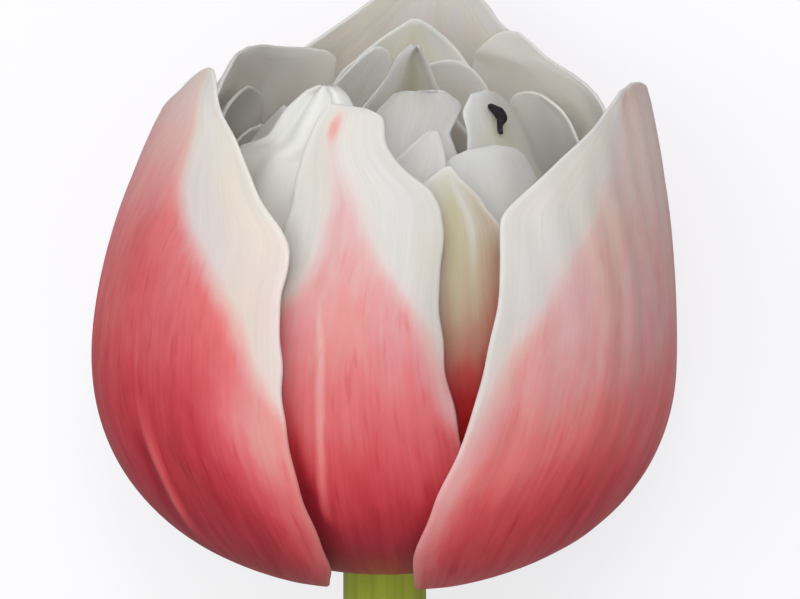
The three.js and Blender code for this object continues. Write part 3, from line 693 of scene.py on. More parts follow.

# %% [markdown]
# Where each petal is red. On a real bloom the flame stands on the petal's back, broad at the root and
# pointed at the tip, and the margins stay white. Each flame here is two lines up the petal with a soft
# step at each, times a strength that fades towards the tip. Petals further in have little of it, and some
# have a green rib.
#
# All stations start with how far along the petal they lie. A ridge is a line, its width, how far it rises
# in mm (or sinks) and where it starts and ends. A smudge is a place, along and across, its two sizes and
# the pigment that it adds (or takes away). The other words: inside is how much of the outer face's
# pigment shows on the inner face, and blush is pigment all over. The two last words of a look are painted
# light: the least of the margin's pale tone on the inner and outer faces, which lifts faces in shade in the
# mouth.

# %% Flames, ribs and folds
DEFAULT_LOOK = dict(
    flame_first=[[0, -1.5], [0.4, -1.25], [0.6, -0.8], [0.8, -0.5], [1, -0.2]],
    flame_last=[[0, 1.5], [0.4, 1.25], [0.6, 0.8], [0.8, 0.5], [1, 0.2]],
    strength=[[0, 1], [0.2, 0.92], [0.35, 0.75], [0.5, 0.6], [0.65, 0.45], [0.8, 0.3], [1, 0.2]],
    feather=0.2, inside=0.06, blush=[[0, 0], [1, 0]], rib=0.0, rib_at=0.0, rib_width=0.16,
    swell=0.25, folds=0.08, frill=0.0, ridges=(), smudges=(), painted_light_inner=0.0, painted_light_outer=0.0,
)
PALE_LOOK = dict(
    strength=[[0, 1], [0.3, 0.8], [0.5, 0.3], [0.65, 0.05], [0.8, 0.0], [1, 0.0]],
    rib=0.35, inside=0.25, frill=0.08,
)
INNER_LOOK = dict(
    strength=[[0, 0.5], [0.3, 0.15], [0.5, 0.02], [1, 0.0]], rib=0.2, inside=0.5, folds=0.12, frill=0.12,
)
ALL_ACROSS = dict(flame_first=[[0, -2], [1, -2]], flame_last=[[0, 2], [1, 2]])  # no white margins
LOOKS = {
    "outer_petal_left": dict(
        flame_first=[[0, -1.6], [0.7, -1.4], [0.85, -1.2], [0.95, -0.9], [1, -0.6]],
        flame_last=[[0, 1.5], [0.3, 1.3], [0.36, 1.2], [0.4, 1.08], [0.44, 0.97], [0.48, 0.88], [0.53, 0.8],
                    [0.575, 0.7], [0.625, 0.57], [0.68, 0.38], [0.8, 0.29], [0.88, 0.27], [1, 0.0]],
        strength=[[0, 1], [0.12, 0.97], [0.22, 0.93], [0.32, 0.86], [0.42, 0.73], [0.5, 0.57], [0.6, 0.43],
                  [0.75, 0.3], [0.88, 0.18], [1, 0.14]],
        feather=0.11, blush=[[0, 0], [0.45, 0.03], [0.57, 0.1], [0.75, 0.04], [1, 0]],
        # A fold line with a painted highlight, and a groove beside it with painted shade.
        ridges=[([[0, 0.3], [1, 0.3]], 0.035, 0.16, 0.16, 0.4),
                ([[0, 0.24], [1, 0.24]], 0.04, -0.22, 0.12, 0.38)],
        smudges=[(0.62, 0.18, 0.1, 0.2, 0.12), (0.25, 0.97, 0.14, 0.12, -0.28),
                 (0.39, 0.85, 0.08, 0.15, -0.3), (0.4, 1.0, 0.06, 0.1, -0.14)],
    ),
    "second_petal_front": dict(
        flame_first=[[0, -1.5], [0.5, -1.3], [0.55, -0.95], [0.6, -0.65], [0.665, -0.48], [0.758, -0.45],
                     [0.86, -0.4], [1, -0.5]],
        flame_last=[[0, 1.6], [0.35, 1.2], [0.42, 0.92], [0.48, 0.88], [0.53, 0.84], [0.57, 0.75],
                    [0.603, 0.58], [0.645, 0.34], [0.676, 0.19], [0.758, -0.04], [0.862, -0.15], [1, -0.2]],
        strength=[[0, 1], [0.18, 0.97], [0.26, 0.87], [0.34, 0.73], [0.417, 0.6], [0.54, 0.44], [0.65, 0.34],
                  [0.735, 0.27], [0.85, 0.17], [0.9, 0.16], [1, 0.1]],
        # A fold with a painted highlight, and a groove along the outer left petal's edge. Its darker crimson
        # is that edge's painted shadow.
        ridges=[([[0, -0.27], [0.3, -0.25], [0.4, -0.23], [0.5, -0.25], [0.6, -0.36], [1, -0.45]],
                 0.04, 0.14, 0.22, 0.62),
                ([[0, -0.2], [0.22, -0.28], [0.28, -0.36], [0.32, -0.41], [0.39, -0.51], [0.5, -0.6],
                  [1, -0.7]],
                 0.08, -0.05, 0.12, 0.46)],
        smudges=[(0.92, -0.39, 0.035, 0.18, 0.27), (0.47, 1.03, 0.07, 0.12, 0.4)],
    ),
    "outer_petal_right": dict(
        flame_first=[[0, -1.5], [0.2, -1.25], [0.33, -1.09], [0.4, -1.03], [0.45, -0.97], [0.5, -0.93],
                     [0.552, -0.86], [0.6, -0.78], [0.655, -0.7], [0.7, -0.58], [0.748, -0.47],
                     [0.84, -0.47], [0.965, -0.43], [1, -0.45]],
        flame_last=[[0, 1.6], [0.7, 1.4], [0.85, 1.2], [0.95, 0.9], [1, 0.6]],
        strength=[[0, 0.79], [0.22, 0.79], [0.28, 0.74], [0.35, 0.58], [0.45, 0.41], [0.6, 0.28],
                  [0.75, 0.18], [0.85, 0.14], [1, 0.2]],
        feather=0.11,
        smudges=[(0.965, -0.43, 0.03, 0.12, 0.2), (0.28, -0.97, 0.13, 0.08, -0.28),
                 (0.34, -0.3, 0.1, 0.35, 0.1)],
    ),
    "third_petal_front": dict(
        strength=[[0, 1], [0.39, 0.95], [0.45, 0.76], [0.5, 0.52], [0.54, 0.36], [0.6, 0.23], [0.66, 0.12],
                  [0.75, 0.05], [0.8, 0]],
        blush=[[0, 0.2], [0.5, 0.2], [0.8, 0.12], [1, 0.05]], rib=0.55, rib_at=0.12, rib_width=0.15,
        smudges=[(0.7, 0.8, 0.2, 0.25, 0.14), (0.76, 0.4, 0.15, 0.09, -0.12)], **ALL_ACROSS,
    ),
    # Pale tone over the whole face here is painted light, for faces that lie in shade in the mouth.
    "second_petal_back_left": dict(painted_light_inner=1.0),
    "second_petal_back_right": dict(painted_light_inner=0.9),
    "third_petal_back_left": dict(painted_light_inner=1.0),
    "third_petal_front_left": dict(rib=0.1, rib_at=-0.3, rib_width=0.3, painted_light_outer=0.8),
    "third_petal_left": dict(
        blush=[[0, 0.3], [0.5, 0.25], [0.75, 0.07], [0.9, 0.03], [1, 0.02]],
        inside=1.0, rib=0.0, painted_light_inner=0.8, **ALL_ACROSS,
    ),
    "third_petal_back_right": dict(
        blush=[[0, 0.12], [0.6, 0.04], [1, 0.0]], smudges=[(0.93, 0.0, 0.05, 0.3, 0.12)],
        inside=1.0, rib=0.0, painted_light_inner=1.0,
    ),
    "petaloid_stamen": dict(
        rib=0.75, rib_at=-0.2, rib_width=0.7, painted_light_outer=0.3, smudges=[(0.833, -0.27, 0.022, 0.07, 0.35)],
    ),
    "fourth_petal_front_right": dict(painted_light_outer=0.55),
    "fourth_petal_back_left": dict(painted_light_inner=0.8),
    "fourth_petal_back_right": dict(painted_light_inner=0.6),
    "inner_petal_back": dict(rib=0.7, rib_width=0.5),
    "fourth_petal_hooded": dict(folds=0.2, swell=0.4, rib=0.0),
}
print("petals with a look of their own:", len(LOOKS))

# %% [markdown]
# From these words comes the amount of pigment at each point. A ridge also gets a painted highlight,
# with a little less pigment than the tissue beside it, and a groove gets painted shade, with a little more.

# %% Pigment
FLAMED_RINGS, PALE_RINGS = 1.5, 2.5  # petals outside these rings are flamed, or pale
# The pigment that a ridge loses is a painted highlight, and the pigment that a groove gains is painted shade.
RIDGE_END, RIDGE_PAINTED_LIGHT = 0.1, 0.3  # how softly a ridge starts and ends, and the pigment that it loses


def look_of(name):
    ring = PETALS[name]["ring"]
    own = {} if ring < FLAMED_RINGS else PALE_LOOK if ring < PALE_RINGS else INNER_LOOK
    return {**DEFAULT_LOOK, **own, **LOOKS.get(name, {})}


def on_ridge(line, width, first, last, along, across):
    """How much a ridge shows at each point, from 0 to 1."""
    near = np.exp(-(((across - curve(line)(along)) / width) ** 2))
    return near * smooth(first, first + RIDGE_END, along) * (1 - smooth(last - RIDGE_END, last, along))


def pigment_of(look, along, across):
    """Red pigment on the outer face, from 0 to about 1."""
    reach = look["feather"]
    inside = smooth(-reach, reach, across - curve(look["flame_first"])(along))
    inside = inside * smooth(-reach, reach, curve(look["flame_last"])(along) - across)
    red = inside * curve(look["strength"])(along)
    for line, width, rise, first, last in look["ridges"]:
        # Painted highlight on a ridge and painted shade in a groove, drawn as less or more pigment.
        red = red * (1 - RIDGE_PAINTED_LIGHT * np.sign(rise) * on_ridge(line, width, first, last, along, across))
    for at_along, at_across, tall, wide, amount in look["smudges"]:
        spot = ((along - at_along) / tall) ** 2 + ((across - at_across) / wide) ** 2
        red = red + amount * np.exp(-spot)
    return np.maximum(red + curve(look["blush"])(along), 0)


middle_root = pigment_of(look_of("second_petal_front"), np.array([0.1]), np.array([0.0]))
print("pigment near the root of the middle petal:", middle_root.round(2))

# %% [markdown]
# Each petal starts from its ring, swells and folds a little at random, and gets its ridges. The folds
# stay smaller than the gap to the next ring, and they fade at the root, where the petals are packed
# tightly, and where a petal is narrow. Its margins stray a little from their lines, because no real
# petal's edge is a clean curve.

# %% Folds and stray margins
SWELL_SIZE, FOLD_SIZE, FRILL_SIZE = (15, 34), (4.5, 50), (30, 5)  # mm across and along
STRAY, STRAY_SIZE = 0.22, (1, 7.0)  # mm, how far a margin strays from its line, and over what length
FOLDS_START, FRILL_STARTS, STRAY_ENDS = (0.08, 0.4), (0.5, 0.9), (0.88, 0.98)  # along the petal
NARROW, BROAD = 2.5, 11.0  # mm, folds fade out where a petal narrows from one to the other
PATTERN_SPREAD = 1.02  # the pattern's half width, as a share of the petal's


def folded(points, look, along, across, seed):
    """The petal's surface with its folds, and each point's place on it in mm, across and along."""
    row_width = steps(points, 1).sum(axis=1)[:, None]
    u, v = across * rim_distance(points).max() * PATTERN_SPREAD, along * steps(points, 0).sum(axis=0).max()
    local_u, side = across * row_width / 2, np.abs(across)
    relief = look["swell"] * wander(local_u, v, seed, *SWELL_SIZE)
    relief = relief + look["folds"] * wander(local_u, v, seed + 100, *FOLD_SIZE)
    frill = side**3 * smooth(*FRILL_STARTS, along) * wander(u, v, seed + 200, *FRILL_SIZE)
    relief = relief + look["frill"] * frill
    for line, width, rise, first, last in look["ridges"]:
        relief = relief + rise * on_ridge(line, width, first, last, along, across)
    grown = smooth(*FOLDS_START, along) * smooth(NARROW, BROAD, row_width)
    points = points + normals(points, along, across) * (relief * grown)[..., None]
    stray = STRAY * wander(0 * v, v, seed + 300, *STRAY_SIZE) * side**6 * np.sign(across)
    stray = stray * grown * (1 - smooth(*STRAY_ENDS, along))
    return points + unit(sideways(points, across)) * stray[..., None], u, v


print("swellings of", SWELL_SIZE, "mm, folds of", FOLD_SIZE, "mm")

# %% [markdown]
# Now the petals grow. The three outer petals and the one in the middle of the front get the finest grids,
# because they fill most of the picture. Each petal's number is its seed, so its pattern starts in a place
# of its own. The margin is lighter where there is little red: partly pale margin tissue, partly a painted
# highlight along the rolled rim.

# %% Growing the petals
THICKNESS, MARGIN_THICKNESS, MARGIN_WIDTH = 0.56, 0.34, 4.0  # mm
# The margin's lighter tone is partly pale tissue and partly a painted highlight along the rolled rim.
RIM_LIGHT, RIM_BAND = 0.6, (0.1, 0.9)  # how much of its tone a margin has, and from where to where, in mm
RIM_IN_RED, RIM_FADES = 0.85, (0.1, 0.5)  # how much of that red takes away, and at which pigment
RIB_ENDS, RIB_FADES = (0.85, 1), (0.2, 0.6)  # along the petal, and at which pigment
PATTERN_STEP = 7.3  # mm between the petals' patterns
KINDS = [  # up to which ring, rows, columns, finish, slot
    (1.05, 92, 88, FLAMED, "petal_flamed"),
    (FLAMED_RINGS, 70, 56, FLAMED, "petal_flamed"),
    (PALE_RINGS, 70, 48, PALE, "petal_pale"),
    (9.0, 64, 44, INNER, "petal_inner"),
]


def grow(name, rows, columns, finish, slot, seed):
    look = look_of(name)
    along, across = grid(rows, columns)
    points = petal_surface({**PLAIN, **PETALS[name]}, along, across)
    points, u, v = folded(points, look, along, across, seed)
    rim = rim_distance(points)
    thick = MARGIN_THICKNESS + (THICKNESS - MARGIN_THICKNESS) * smooth(0, MARGIN_WIDTH, rim)
    faces = sheet_faces(from_bloom(points), along, across, rounded(thick, rim))
    red, blush = pigment_of(look, along, across), curve(look["blush"])(along)
    rib = look["rib"] * np.exp(-(((across - look["rib_at"]) / look["rib_width"]) ** 2))
    rib = rib * (1 - smooth(*RIB_ENDS, along)) * (1 - smooth(*RIB_FADES, red))
    # Pale margin tissue and a painted highlight along the rim, both fading where the red is strong.
    edge = RIM_LIGHT * (1 - smooth(*RIM_BAND, rim)) * (1 - RIM_IN_RED * smooth(*RIM_FADES, red))
    place = np.stack([u, v, 0 * u + PATTERN_STEP * seed], axis=-1)
    values = {
        "place": (place, place),
        "pigment": (red, blush + (red - blush) * look["inside"]),
        "green": (rib, rib),
        # The margin's share: the pale rim, partly a painted highlight, and over whole faces that lie in
        # shade, painted light.
        "margin": (np.maximum(edge, look["painted_light_outer"]), np.maximum(edge, look["painted_light_inner"])),
    }
    return skin(name, faces, along, across, values, finish)


total_faces = 0
for number, (name, petal) in enumerate(PETALS.items()):
    kind = next(kind for kind in KINDS if petal["ring"] < kind[0])
    piece = grow(name, *kind[1:], number)
    total_faces += len(piece.data.polygons)
print("faces in the petals:", total_faces)

# %% [markdown]
# The stem is a tube, and so are the pistil and the stamens: rows of rings along a line, each square to
# it. One function makes them all. It carries a direction along the line without twisting it, and it takes
# a radius for every point of every ring, so that a tube can have ribs and lobes.

# %% Tubes
def angles(sides):
    """Even angles round a tube, in radians."""
    return 2 * np.pi * np.arange(sides) / sides


def tube(node, middles, radii, values, finish):
    """A closed tube through middles (n, 3), in mm, with radii (n, sides). values spread to (n, sides)."""
    count, sides = radii.shape
    side, turn = np.array([1.0, 0.0, 0.0]), angles(sides)[:, None]
    rings = []
    for middle, radius, direction in zip(middles, radii, unit(np.gradient(middles, axis=0))):
        side = unit(side - direction * side.dot(direction))
        other = np.cross(direction, side)
        rings.append(middle + radius[:, None] * (np.cos(turn) * side + np.sin(turn) * other))
    index = np.arange(count * sides).reshape(count, sides)
    after = np.roll(index, -1, axis=1)
    faces = np.stack([index[:-1], after[:-1], after[1:], index[1:]], axis=-1).reshape(-1, 4).tolist()
    faces += [(count * sides, *pair) for pair in zip(after[0].tolist(), index[0].tolist())]
    faces += [(count * sides + 1, *pair) for pair in zip(index[-1].tolist(), after[-1].tolist())]
    flat = {}
    for key, field in values.items():
        field = np.broadcast_to(field, radii.shape)
        flat[key] = np.concatenate([field.ravel(), field[[0, -1]].mean(axis=1)])
    return make_piece(node, np.concatenate([*rings, middles[[0, -1]]]), faces, flat, finish)


print("a tube of 4 sides turns by", angles(4).round(2))

# %% [markdown]
# A tulip's stem is a juicy tube under a waxy skin, yellow-green, with fibres that run its whole length.
# They show as fine pale lines and as flats too shallow to feel. The skin has a soft shine. The cut end is
# bare flesh: pale and wet, with the cut fibres as darker dots.
#
# Real fibres are about half a millimetre apart. They are drawn 0.9 mm apart, so that they show, and the
# pattern is stretched 55 times along the stem. It lies on a cylinder, so no seam shows. The dots are 0.7
# mm apart.

# %% Stem finish
FIBRE_GAP, FIBRE_STRETCH, FIBRE_CYLINDER = 0.9, 55.0, 4.4  # mm, times, and mm of radius
STEM_CLOUDS, CUT_FIBRES = 90.0, 1400.0  # per metre
STEM_TONES = [(0.3, "#8D9B28"), (0.72, "#C3C65C"), (0.5, "#A9B338")]
FLESH_TONES = [(0.12, "#98A55E"), (0.3, "#E2E4BE")]
STEM_GLOSS = {1: 0.3, 2: 0.7, 3: 0.36, 4: 0.5}  # from the clouds' noise to a roughness
STEM_TISSUE = {
    "IOR": 1.45, "Specular IOR Level": 0.35,
    "Subsurface Weight": 0.15, "Subsurface Radius": (0.7, 1.0, 0.2), "Subsurface Scale": 1.0 * MM,
}


def stem_finish():
    material, tree, shader = new_finish("tulip stem, waxy skin")
    around, along, cut = [
        add(tree, "Attribute", attribute_name=key).outputs["Fac"] for key in ("around", "along", "cut")
    ]
    place = add(tree, "TexCoord").outputs["Object"]
    circle = [add(tree, "Math", {0: around}, operation=kind) for kind in ("COSINE", "SINE")]
    size = FIBRE_CYLINDER / FIBRE_GAP
    circle = [add(tree, "Math", {0: one, 1: size}, operation="MULTIPLY") for one in circle]
    way = add(tree, "Math", {0: along, 1: 1 / (FIBRE_GAP * FIBRE_STRETCH)}, operation="MULTIPLY")
    skin_place = add(tree, "CombineXYZ", {0: circle[0], 1: circle[1], 2: way})
    fibres = add(tree, "TexNoise", {"Vector": skin_place, "Scale": 1.0, "Detail": 2.0})
    cloud = add(tree, "TexNoise", {"Vector": place, "Scale": STEM_CLOUDS, "Detail": 2.0})
    tone = add(tree, "Math", {0: cloud, 1: 0.5}, operation="MULTIPLY")
    tone = add(tree, "Math", {0: fibres, 1: 0.5, 2: tone}, operation="MULTIPLY_ADD")
    skin_tone = add(tree, "ValToRGB", {0: tone}, STEM_TONES)
    dots = add(tree, "TexVoronoi", {"Vector": place, "Scale": CUT_FIBRES})
    flesh = add(tree, "ValToRGB", {0: dots}, FLESH_TONES)
    fill(tree, shader, {
        "Base Color": add(tree, "Mix", {0: cut, 6: skin_tone, 7: flesh}, data_type="RGBA"),
        "Roughness": add(tree, "MapRange", {0: cloud, **STEM_GLOSS}),
        "Normal": add(tree, "Bump", {"Height": fibres, "Strength": 0.4, "Distance": 0.15 * MM}),
        **STEM_TISSUE,
    })
    return material


STEM_SKIN = stem_finish()
print("made:", STEM_SKIN.name)

# %% [markdown]
# The stem runs from its cut end, flat on the table, up into the bloom. A cut stem lies in one slow bend,
# so a curve with four handles is enough for its line. The line is walked in even steps, which puts the
# tube's rings at even distances.

# %% The stem's line
STEM_NECK, STEM_REACH, STEM_BOW, STEM_END_RADIUS = 1.2, 262.0, -7.0, 4.6  # mm
STEM_PULL, STEM_RISE = 0.36, 0.018  # how far the curve's handles reach, as shares of the stem's length
STEM_RINGS, WALK_STEPS = 150, 2001

stem_top = from_bloom(np.array([0, -STEM_NECK, 0]))
stem_cut = np.array([STEM_BOW, -STEM_REACH, STEM_END_RADIUS])
stem_span = stem_top[1] - stem_cut[1]
stem_handles = [
    stem_cut,
    stem_cut + [0, stem_span * STEM_PULL, stem_span * STEM_RISE],
    stem_top - TURN @ [0, 1, 0] * stem_span * STEM_PULL,
    stem_top,
]


def stem_line(t):
    """Points of the stem's middle line at t, which runs from 0 at the cut end to 1 under the bloom."""
    t = np.asarray(t, float)[..., None]
    a, b, c, d = stem_handles
    return (1 - t) ** 3 * a + 3 * t * (1 - t) ** 2 * b + 3 * t * t * (1 - t) * c + t**3 * d


fine_t = np.linspace(0, 1, WALK_STEPS)
walked = np.concatenate([[0], np.cumsum(steps(stem_line(fine_t), 0))])
stem_length = walked[-1]
stem_along = np.linspace(0, stem_length, STEM_RINGS)
stem_middles = stem_line(np.interp(stem_along, walked, fine_t))
print(f"the stem is {stem_length:.0f} mm long")

# %% [markdown]
# Inside the bloom the stem becomes the receptacle that the petals grow from. Its other end is the cut
# face: a few rings that lie almost in one plane, with the skin's own edge 0.08 mm behind it. Slight flats
# run along the skin.

# %% The stem
STEM_RADIUS, RECEPTACLE_HEIGHT, RECEPTACLE_RINGS, GAP = 4.2, 7.6, 12, 0.3  # mm, and a count
STEM_THINS = (0, 0.7)  # along the stem, from the cut end
CUT_RINGS = np.array([0.12, 0.45, 0.75, 0.93, 0.985])  # shares of the stem's radius
CUT_DOME, SKIN_EDGE = 0.01, 0.08  # mm from one of these rings to the next, and to the skin's edge
STEM_SIDES, FIVE_FLATS, NINE_FLATS, FLATS_TWIST = 56, 0.05, 0.03, 0.01  # mm deep, and radians for each mm
FLATS_ROOM, THINNEST = 0.08, 0.05  # mm that keep the flats inside the model's stem, and the least radius

thinning = smooth(*STEM_THINS, stem_along / stem_length)
stem_radius = STEM_END_RADIUS + (STEM_RADIUS - STEM_END_RADIUS) * thinning
stem_middles[0, 1] += SKIN_EDGE
cut_middles = stem_cut + np.outer(CUT_DOME * np.arange(1, len(CUT_RINGS) + 1), [0, 1, 0])
receptacle = np.linspace(0, RECEPTACLE_HEIGHT, RECEPTACLE_RINGS)
receptacle_middles = from_bloom(around_axis(0 * receptacle, receptacle, 0.0))
receptacle_radius = ROOT_RADIUS - ROOT_STEP / ROOT_RISE * receptacle - GAP
stem_parts = [  # middles, radii, way along, how much the flats show, and whether it is cut
    (cut_middles, CUT_RINGS * STEM_END_RADIUS, 0 * CUT_RINGS, CUT_RINGS, 1 + 0 * CUT_RINGS),
    (stem_middles, stem_radius, stem_along, 1 + 0 * stem_along, 0 * stem_along),
    (receptacle_middles, receptacle_radius, stem_length + 1 + receptacle,
     1 - receptacle / RECEPTACLE_HEIGHT, 0 * receptacle),
]
all_middles, all_radius, *fields = [np.concatenate(part) for part in zip(*stem_parts)]
all_along, flatness, is_cut = [field[:, None] for field in fields]
stem_turn = angles(STEM_SIDES)
flats = FIVE_FLATS * np.cos(5 * stem_turn + FLATS_TWIST * all_along)
flats = flats + NINE_FLATS * np.cos(9 * stem_turn + 1.0)
stem_radii = np.maximum(all_radius[:, None] - FLATS_ROOM + flats * flatness, THINNEST)
stem_values = {"around": stem_turn[None, :], "along": all_along, "cut": is_cut}
stem = tube("stem", all_middles, stem_radii, stem_values, STEM_SKIN)
print("faces in the stem:", len(stem.data.polygons))

# %% [markdown]
# A tulip leaf is thick and folded along its middle, and it clasps the stem. Its veins run side by side
# from base to tip. Wax gives it a blue-grey bloom, like a breath on glass, over a mid green.
#
# Real veins are about a millimetre apart. They are drawn 1.5 mm apart in the middle of the leaf, so that
# they show, and they crowd together at its tip.

# %% Leaf finish
LEAF_PATTERNS = {"vein": (1.5, 60.0, 2.0), "fine vein": (0.5, 25.0, 1.0), "cloud": (9.0, 22.0, 3.0)}
VEIN_SHARE = 0.65  # of the veins, and the fine ones have the rest
LEAF_GREENS = [(0.34, "#4F6E3C"), (0.68, "#8DA56E"), (0.52, "#678451")]
WAX, YOUNG_TISSUE, MARGIN_TISSUE = "#8CA08C", "#BFC89A", "#B7BF93"
WAX_BLOOM = {1: 0.35, 2: 0.65, 3: 0.15, 4: 0.5}  # from the clouds' noise to how much wax covers the green
LEAF_GLOSS = {1: 0.35, 2: 0.65, 3: 0.42, 4: 0.6}  # and to a roughness
LEAF_TISSUE = {
    "IOR": 1.45,
    "Subsurface Weight": 0.12, "Subsurface Radius": (0.5, 1.0, 0.25), "Subsurface Scale": 0.8 * MM,
}


def leaf_finish():
    material, tree, shader = new_finish("tulip leaf, waxy bloom")
    place = add(tree, "Attribute", attribute_name="place").outputs["Vector"]
    young, margin = [
        add(tree, "Attribute", attribute_name=key).outputs["Fac"] for key in ("young", "margin")
    ]
    pattern = {}
    for key, (wide, tall, detail) in LEAF_PATTERNS.items():
        spot = add(tree, "VectorMath", {0: place, 1: (1 / wide, 1 / tall, 1.0)}, operation="MULTIPLY")
        pattern[key] = add(tree, "TexNoise", {"Vector": spot, "Scale": 1.0, "Detail": detail})
    veins = add(tree, "Math", {0: pattern["fine vein"], 1: 1 - VEIN_SHARE}, operation="MULTIPLY")
    veins = add(tree, "Math", {0: pattern["vein"], 1: VEIN_SHARE, 2: veins}, operation="MULTIPLY_ADD")
    wax = add(tree, "MapRange", {0: pattern["cloud"], **WAX_BLOOM})
    colour = add(tree, "ValToRGB", {0: veins}, LEAF_GREENS)
    for share, tone in ((wax, WAX), (young, YOUNG_TISSUE), (margin, MARGIN_TISSUE)):
        colour = add(tree, "Mix", {0: share, 6: colour, 7: tone}, data_type="RGBA")
    fill(tree, shader, {
        "Base Color": colour,
        "Roughness": add(tree, "MapRange", {0: pattern["cloud"], **LEAF_GLOSS}),
        "Normal": add(tree, "Bump", {"Height": veins, "Strength": 0.5, "Distance": 0.25 * MM}),
        **LEAF_TISSUE,
    })
    return material


LEAF_SKIN = leaf_finish()
print("made:", LEAF_SKIN.name)

# %% [markdown]
# Each leaf is a strip with a hollow section that rolls from facing the stem to facing up, as in the CAD
# model, on a much finer grid. Its middle line goes through a few points, beside the stem and ahead of
# where the leaf clasps it, and above the table. The other stations say how wide, how hollow and how far
# rolled it is on its way to the tip.

# %% The leaves' lines
LEAF_CAD_THICKNESS = 0.8  # mm
LEAVES = {  # axis: mm aside, ahead and high. The rest: from 0 to 1 along, with mm, mm and degrees
    "leaf_large": dict(
        start=-222, hand=1, wave=1.1,
        axis=[[0, 0, None], [9.5, 22, 8], [18, 55, 12.5], [29, 95, 12], [37, 130, 6], [40, 156, 1.6]],
        half_width=[[0, 5.5], [0.15, 10], [0.4, 17], [0.65, 16], [0.88, 7.5], [1, 0.5]],
        hollow=[[0, 5.3], [0.15, 8.5], [0.35, 20], [0.7, 20], [1, 10]],
        roll=[[0, 0], [0.15, 10], [0.4, 42], [0.65, 68], [1, 84]],
    ),
    "leaf_small": dict(
        start=-182, hand=-1, wave=0.7,
        axis=[[0, 0, None], [8.5, 18, 10.5], [14.5, 45, 14], [23, 80, 11], [29, 108, 5], [32, 125, 1.6]],
        half_width=[[0, 5.2], [0.15, 7], [0.4, 10.5], [0.65, 10], [0.88, 5], [1, 0.5]],
        hollow=[[0, 5.3], [0.15, 7.5], [0.35, 14], [0.7, 14], [1, 8]],
        roll=[[0, 0], [0.15, 12], [0.4, 45], [0.65, 70], [1, 84]],
    ),
}


def rounded_line(points, t):
    """A line through points that rounds their corners and never loops, at t from 0 to 1."""
    points = np.array(points, float)
    ends = [2 * points[0] - points[1], 2 * points[-1] - points[-2]]
    points = np.concatenate([ends[:1], points, ends[1:]])
    spans = len(points) - 3
    i = np.minimum((t * spans).astype(int), spans - 1)
    weight = (t * spans - i)[..., None]
    p0, p1, p2, p3 = (points[i + k] for k in range(4))
    pairs = ((p0, p1), (p1, p2), (p2, p3))
    d0, d1, d2 = (np.linalg.norm(b - a, axis=-1, keepdims=True) ** 0.5 for a, b in pairs)
    leave = ((p1 - p0) / d0 - (p2 - p0) / (d0 + d1) + (p2 - p1) / d1) * d1
    arrive = ((p2 - p1) / d1 - (p3 - p1) / (d1 + d2) + (p3 - p2) / d2) * d1
    square = -3 * p1 + 3 * p2 - 2 * leave - arrive
    cube = 2 * p1 - 2 * p2 + leave + arrive
    return p1 + leave * weight + square * weight**2 + cube * weight**3


print("leaves:", list(LEAVES))

# %% [markdown]
# A leaf's own surface, before its veins. Its margins wave a little, as they do on a leaf that has grown
# faster at its margins than in its middle.

# %% A leaf's surface
LEAF_GRID = dict(rows=150, columns=64, margin=(0.003, 0.01, 0.025))
LEAF_WAVES, WAVE_STARTS, WAVE_ENDS = 9, (0.2, 0.5), (0.8, 1)  # half waves, and along the leaf
FOOT_SEARCH = 0.001  # of the stem's line, for each step towards the place where the leaf starts


def leaf_surface(leaf):
    """Points in mm on a grid, with its along and across, and the leaf's greatest half width."""
    t, hand = 0.0, leaf["hand"]
    while stem_line(t)[1] < leaf["start"]:
        t += FOOT_SEARCH
    foot = stem_line(t)
    clasp = STEM_END_RADIUS + GAP + LEAF_CAD_THICKNESS / 2
    axis = [
        [foot[0] + hand * max(aside, clasp), foot[1] + ahead, foot[2] if height is None else height]
        for aside, ahead, height in leaf["axis"]
    ]
    along, across = grid(**LEAF_GRID)
    half_width, hollow, roll = [curve(leaf[key])(along) for key in ("half_width", "hollow", "roll")]
    turn, bend = roll * DEGREE, hand * across * half_width / hollow
    inwards = np.stack([-hand * np.cos(turn), 0 * turn, np.sin(turn)], axis=-1)
    outwards = np.stack([hand * np.sin(turn), 0 * turn, np.cos(turn)], axis=-1)
    wave = leaf["wave"] * across**2 * smooth(*WAVE_STARTS, along)
    wave = wave * np.sin(LEAF_WAVES * along * np.pi + across) * (1 - smooth(*WAVE_ENDS, along))
    points = rounded_line(axis, along) + outwards * (hollow * np.sin(bend))[..., None]
    points = points + inwards * (hollow * (1 - np.cos(bend)) + wave)[..., None]
    return points, along, across, half_width.max()


large_surface, *_, large_half = leaf_surface(LEAVES["leaf_large"])
print("the large leaf is", round(2 * large_half), "mm wide when flat, on a grid of", large_surface.shape[:2])

# %% [markdown]
# Then it gets its keel, its veins and its swellings in relief, and its thickness. In relief the veins are
# 2.2 mm apart, and they stray a little from side to side. The foot of a leaf and the line along its keel
# are young tissue, which is paler, and so is its thin margin.

# %% The leaves
LEAF_THICKNESS, THIN_SHARE, THIN_WIDTH = 0.72, 0.6, 5  # mm, its share at the margin, and mm from the margin
KEEL, KEEL_WIDTH, KEEL_STARTS, KEEL_ENDS = -0.25, 0.05, (0.1, 0.3), (0.85, 1)  # mm, across, and along
VEIN_RELIEF, VEIN_STEP, VEIN_STRAY, STRAY_SPREAD = 0.035, 2.2, 0.6, (20, 60)  # mm, mm, radians, and mm
LEAF_SWELL, LEAF_SWELL_SIZE, LEAF_RELIEF_STARTS = 0.22, (14, 40), (0, 0.1)  # mm, mm, and along the leaf
YOUNG_FOOT, YOUNG_REACH = 0.85, (0, 0.22)  # how much of the young tone the foot has, and along the leaf
YOUNG_KEEL, YOUNG_WIDTH = 0.35, 0.06  # how much of it the keel has at the foot, and across the leaf
LEAF_MARGIN, LEAF_MARGIN_BAND = 0.6, (0.15, 0.7)  # how much of its tone it has, and mm from the rim
LEAF_PATTERN_LENGTH, LEAF_PATTERN_STEP, FIRST_LEAF_SEED = 160, 11.0, 40  # mm, mm, and the first leaf's seed


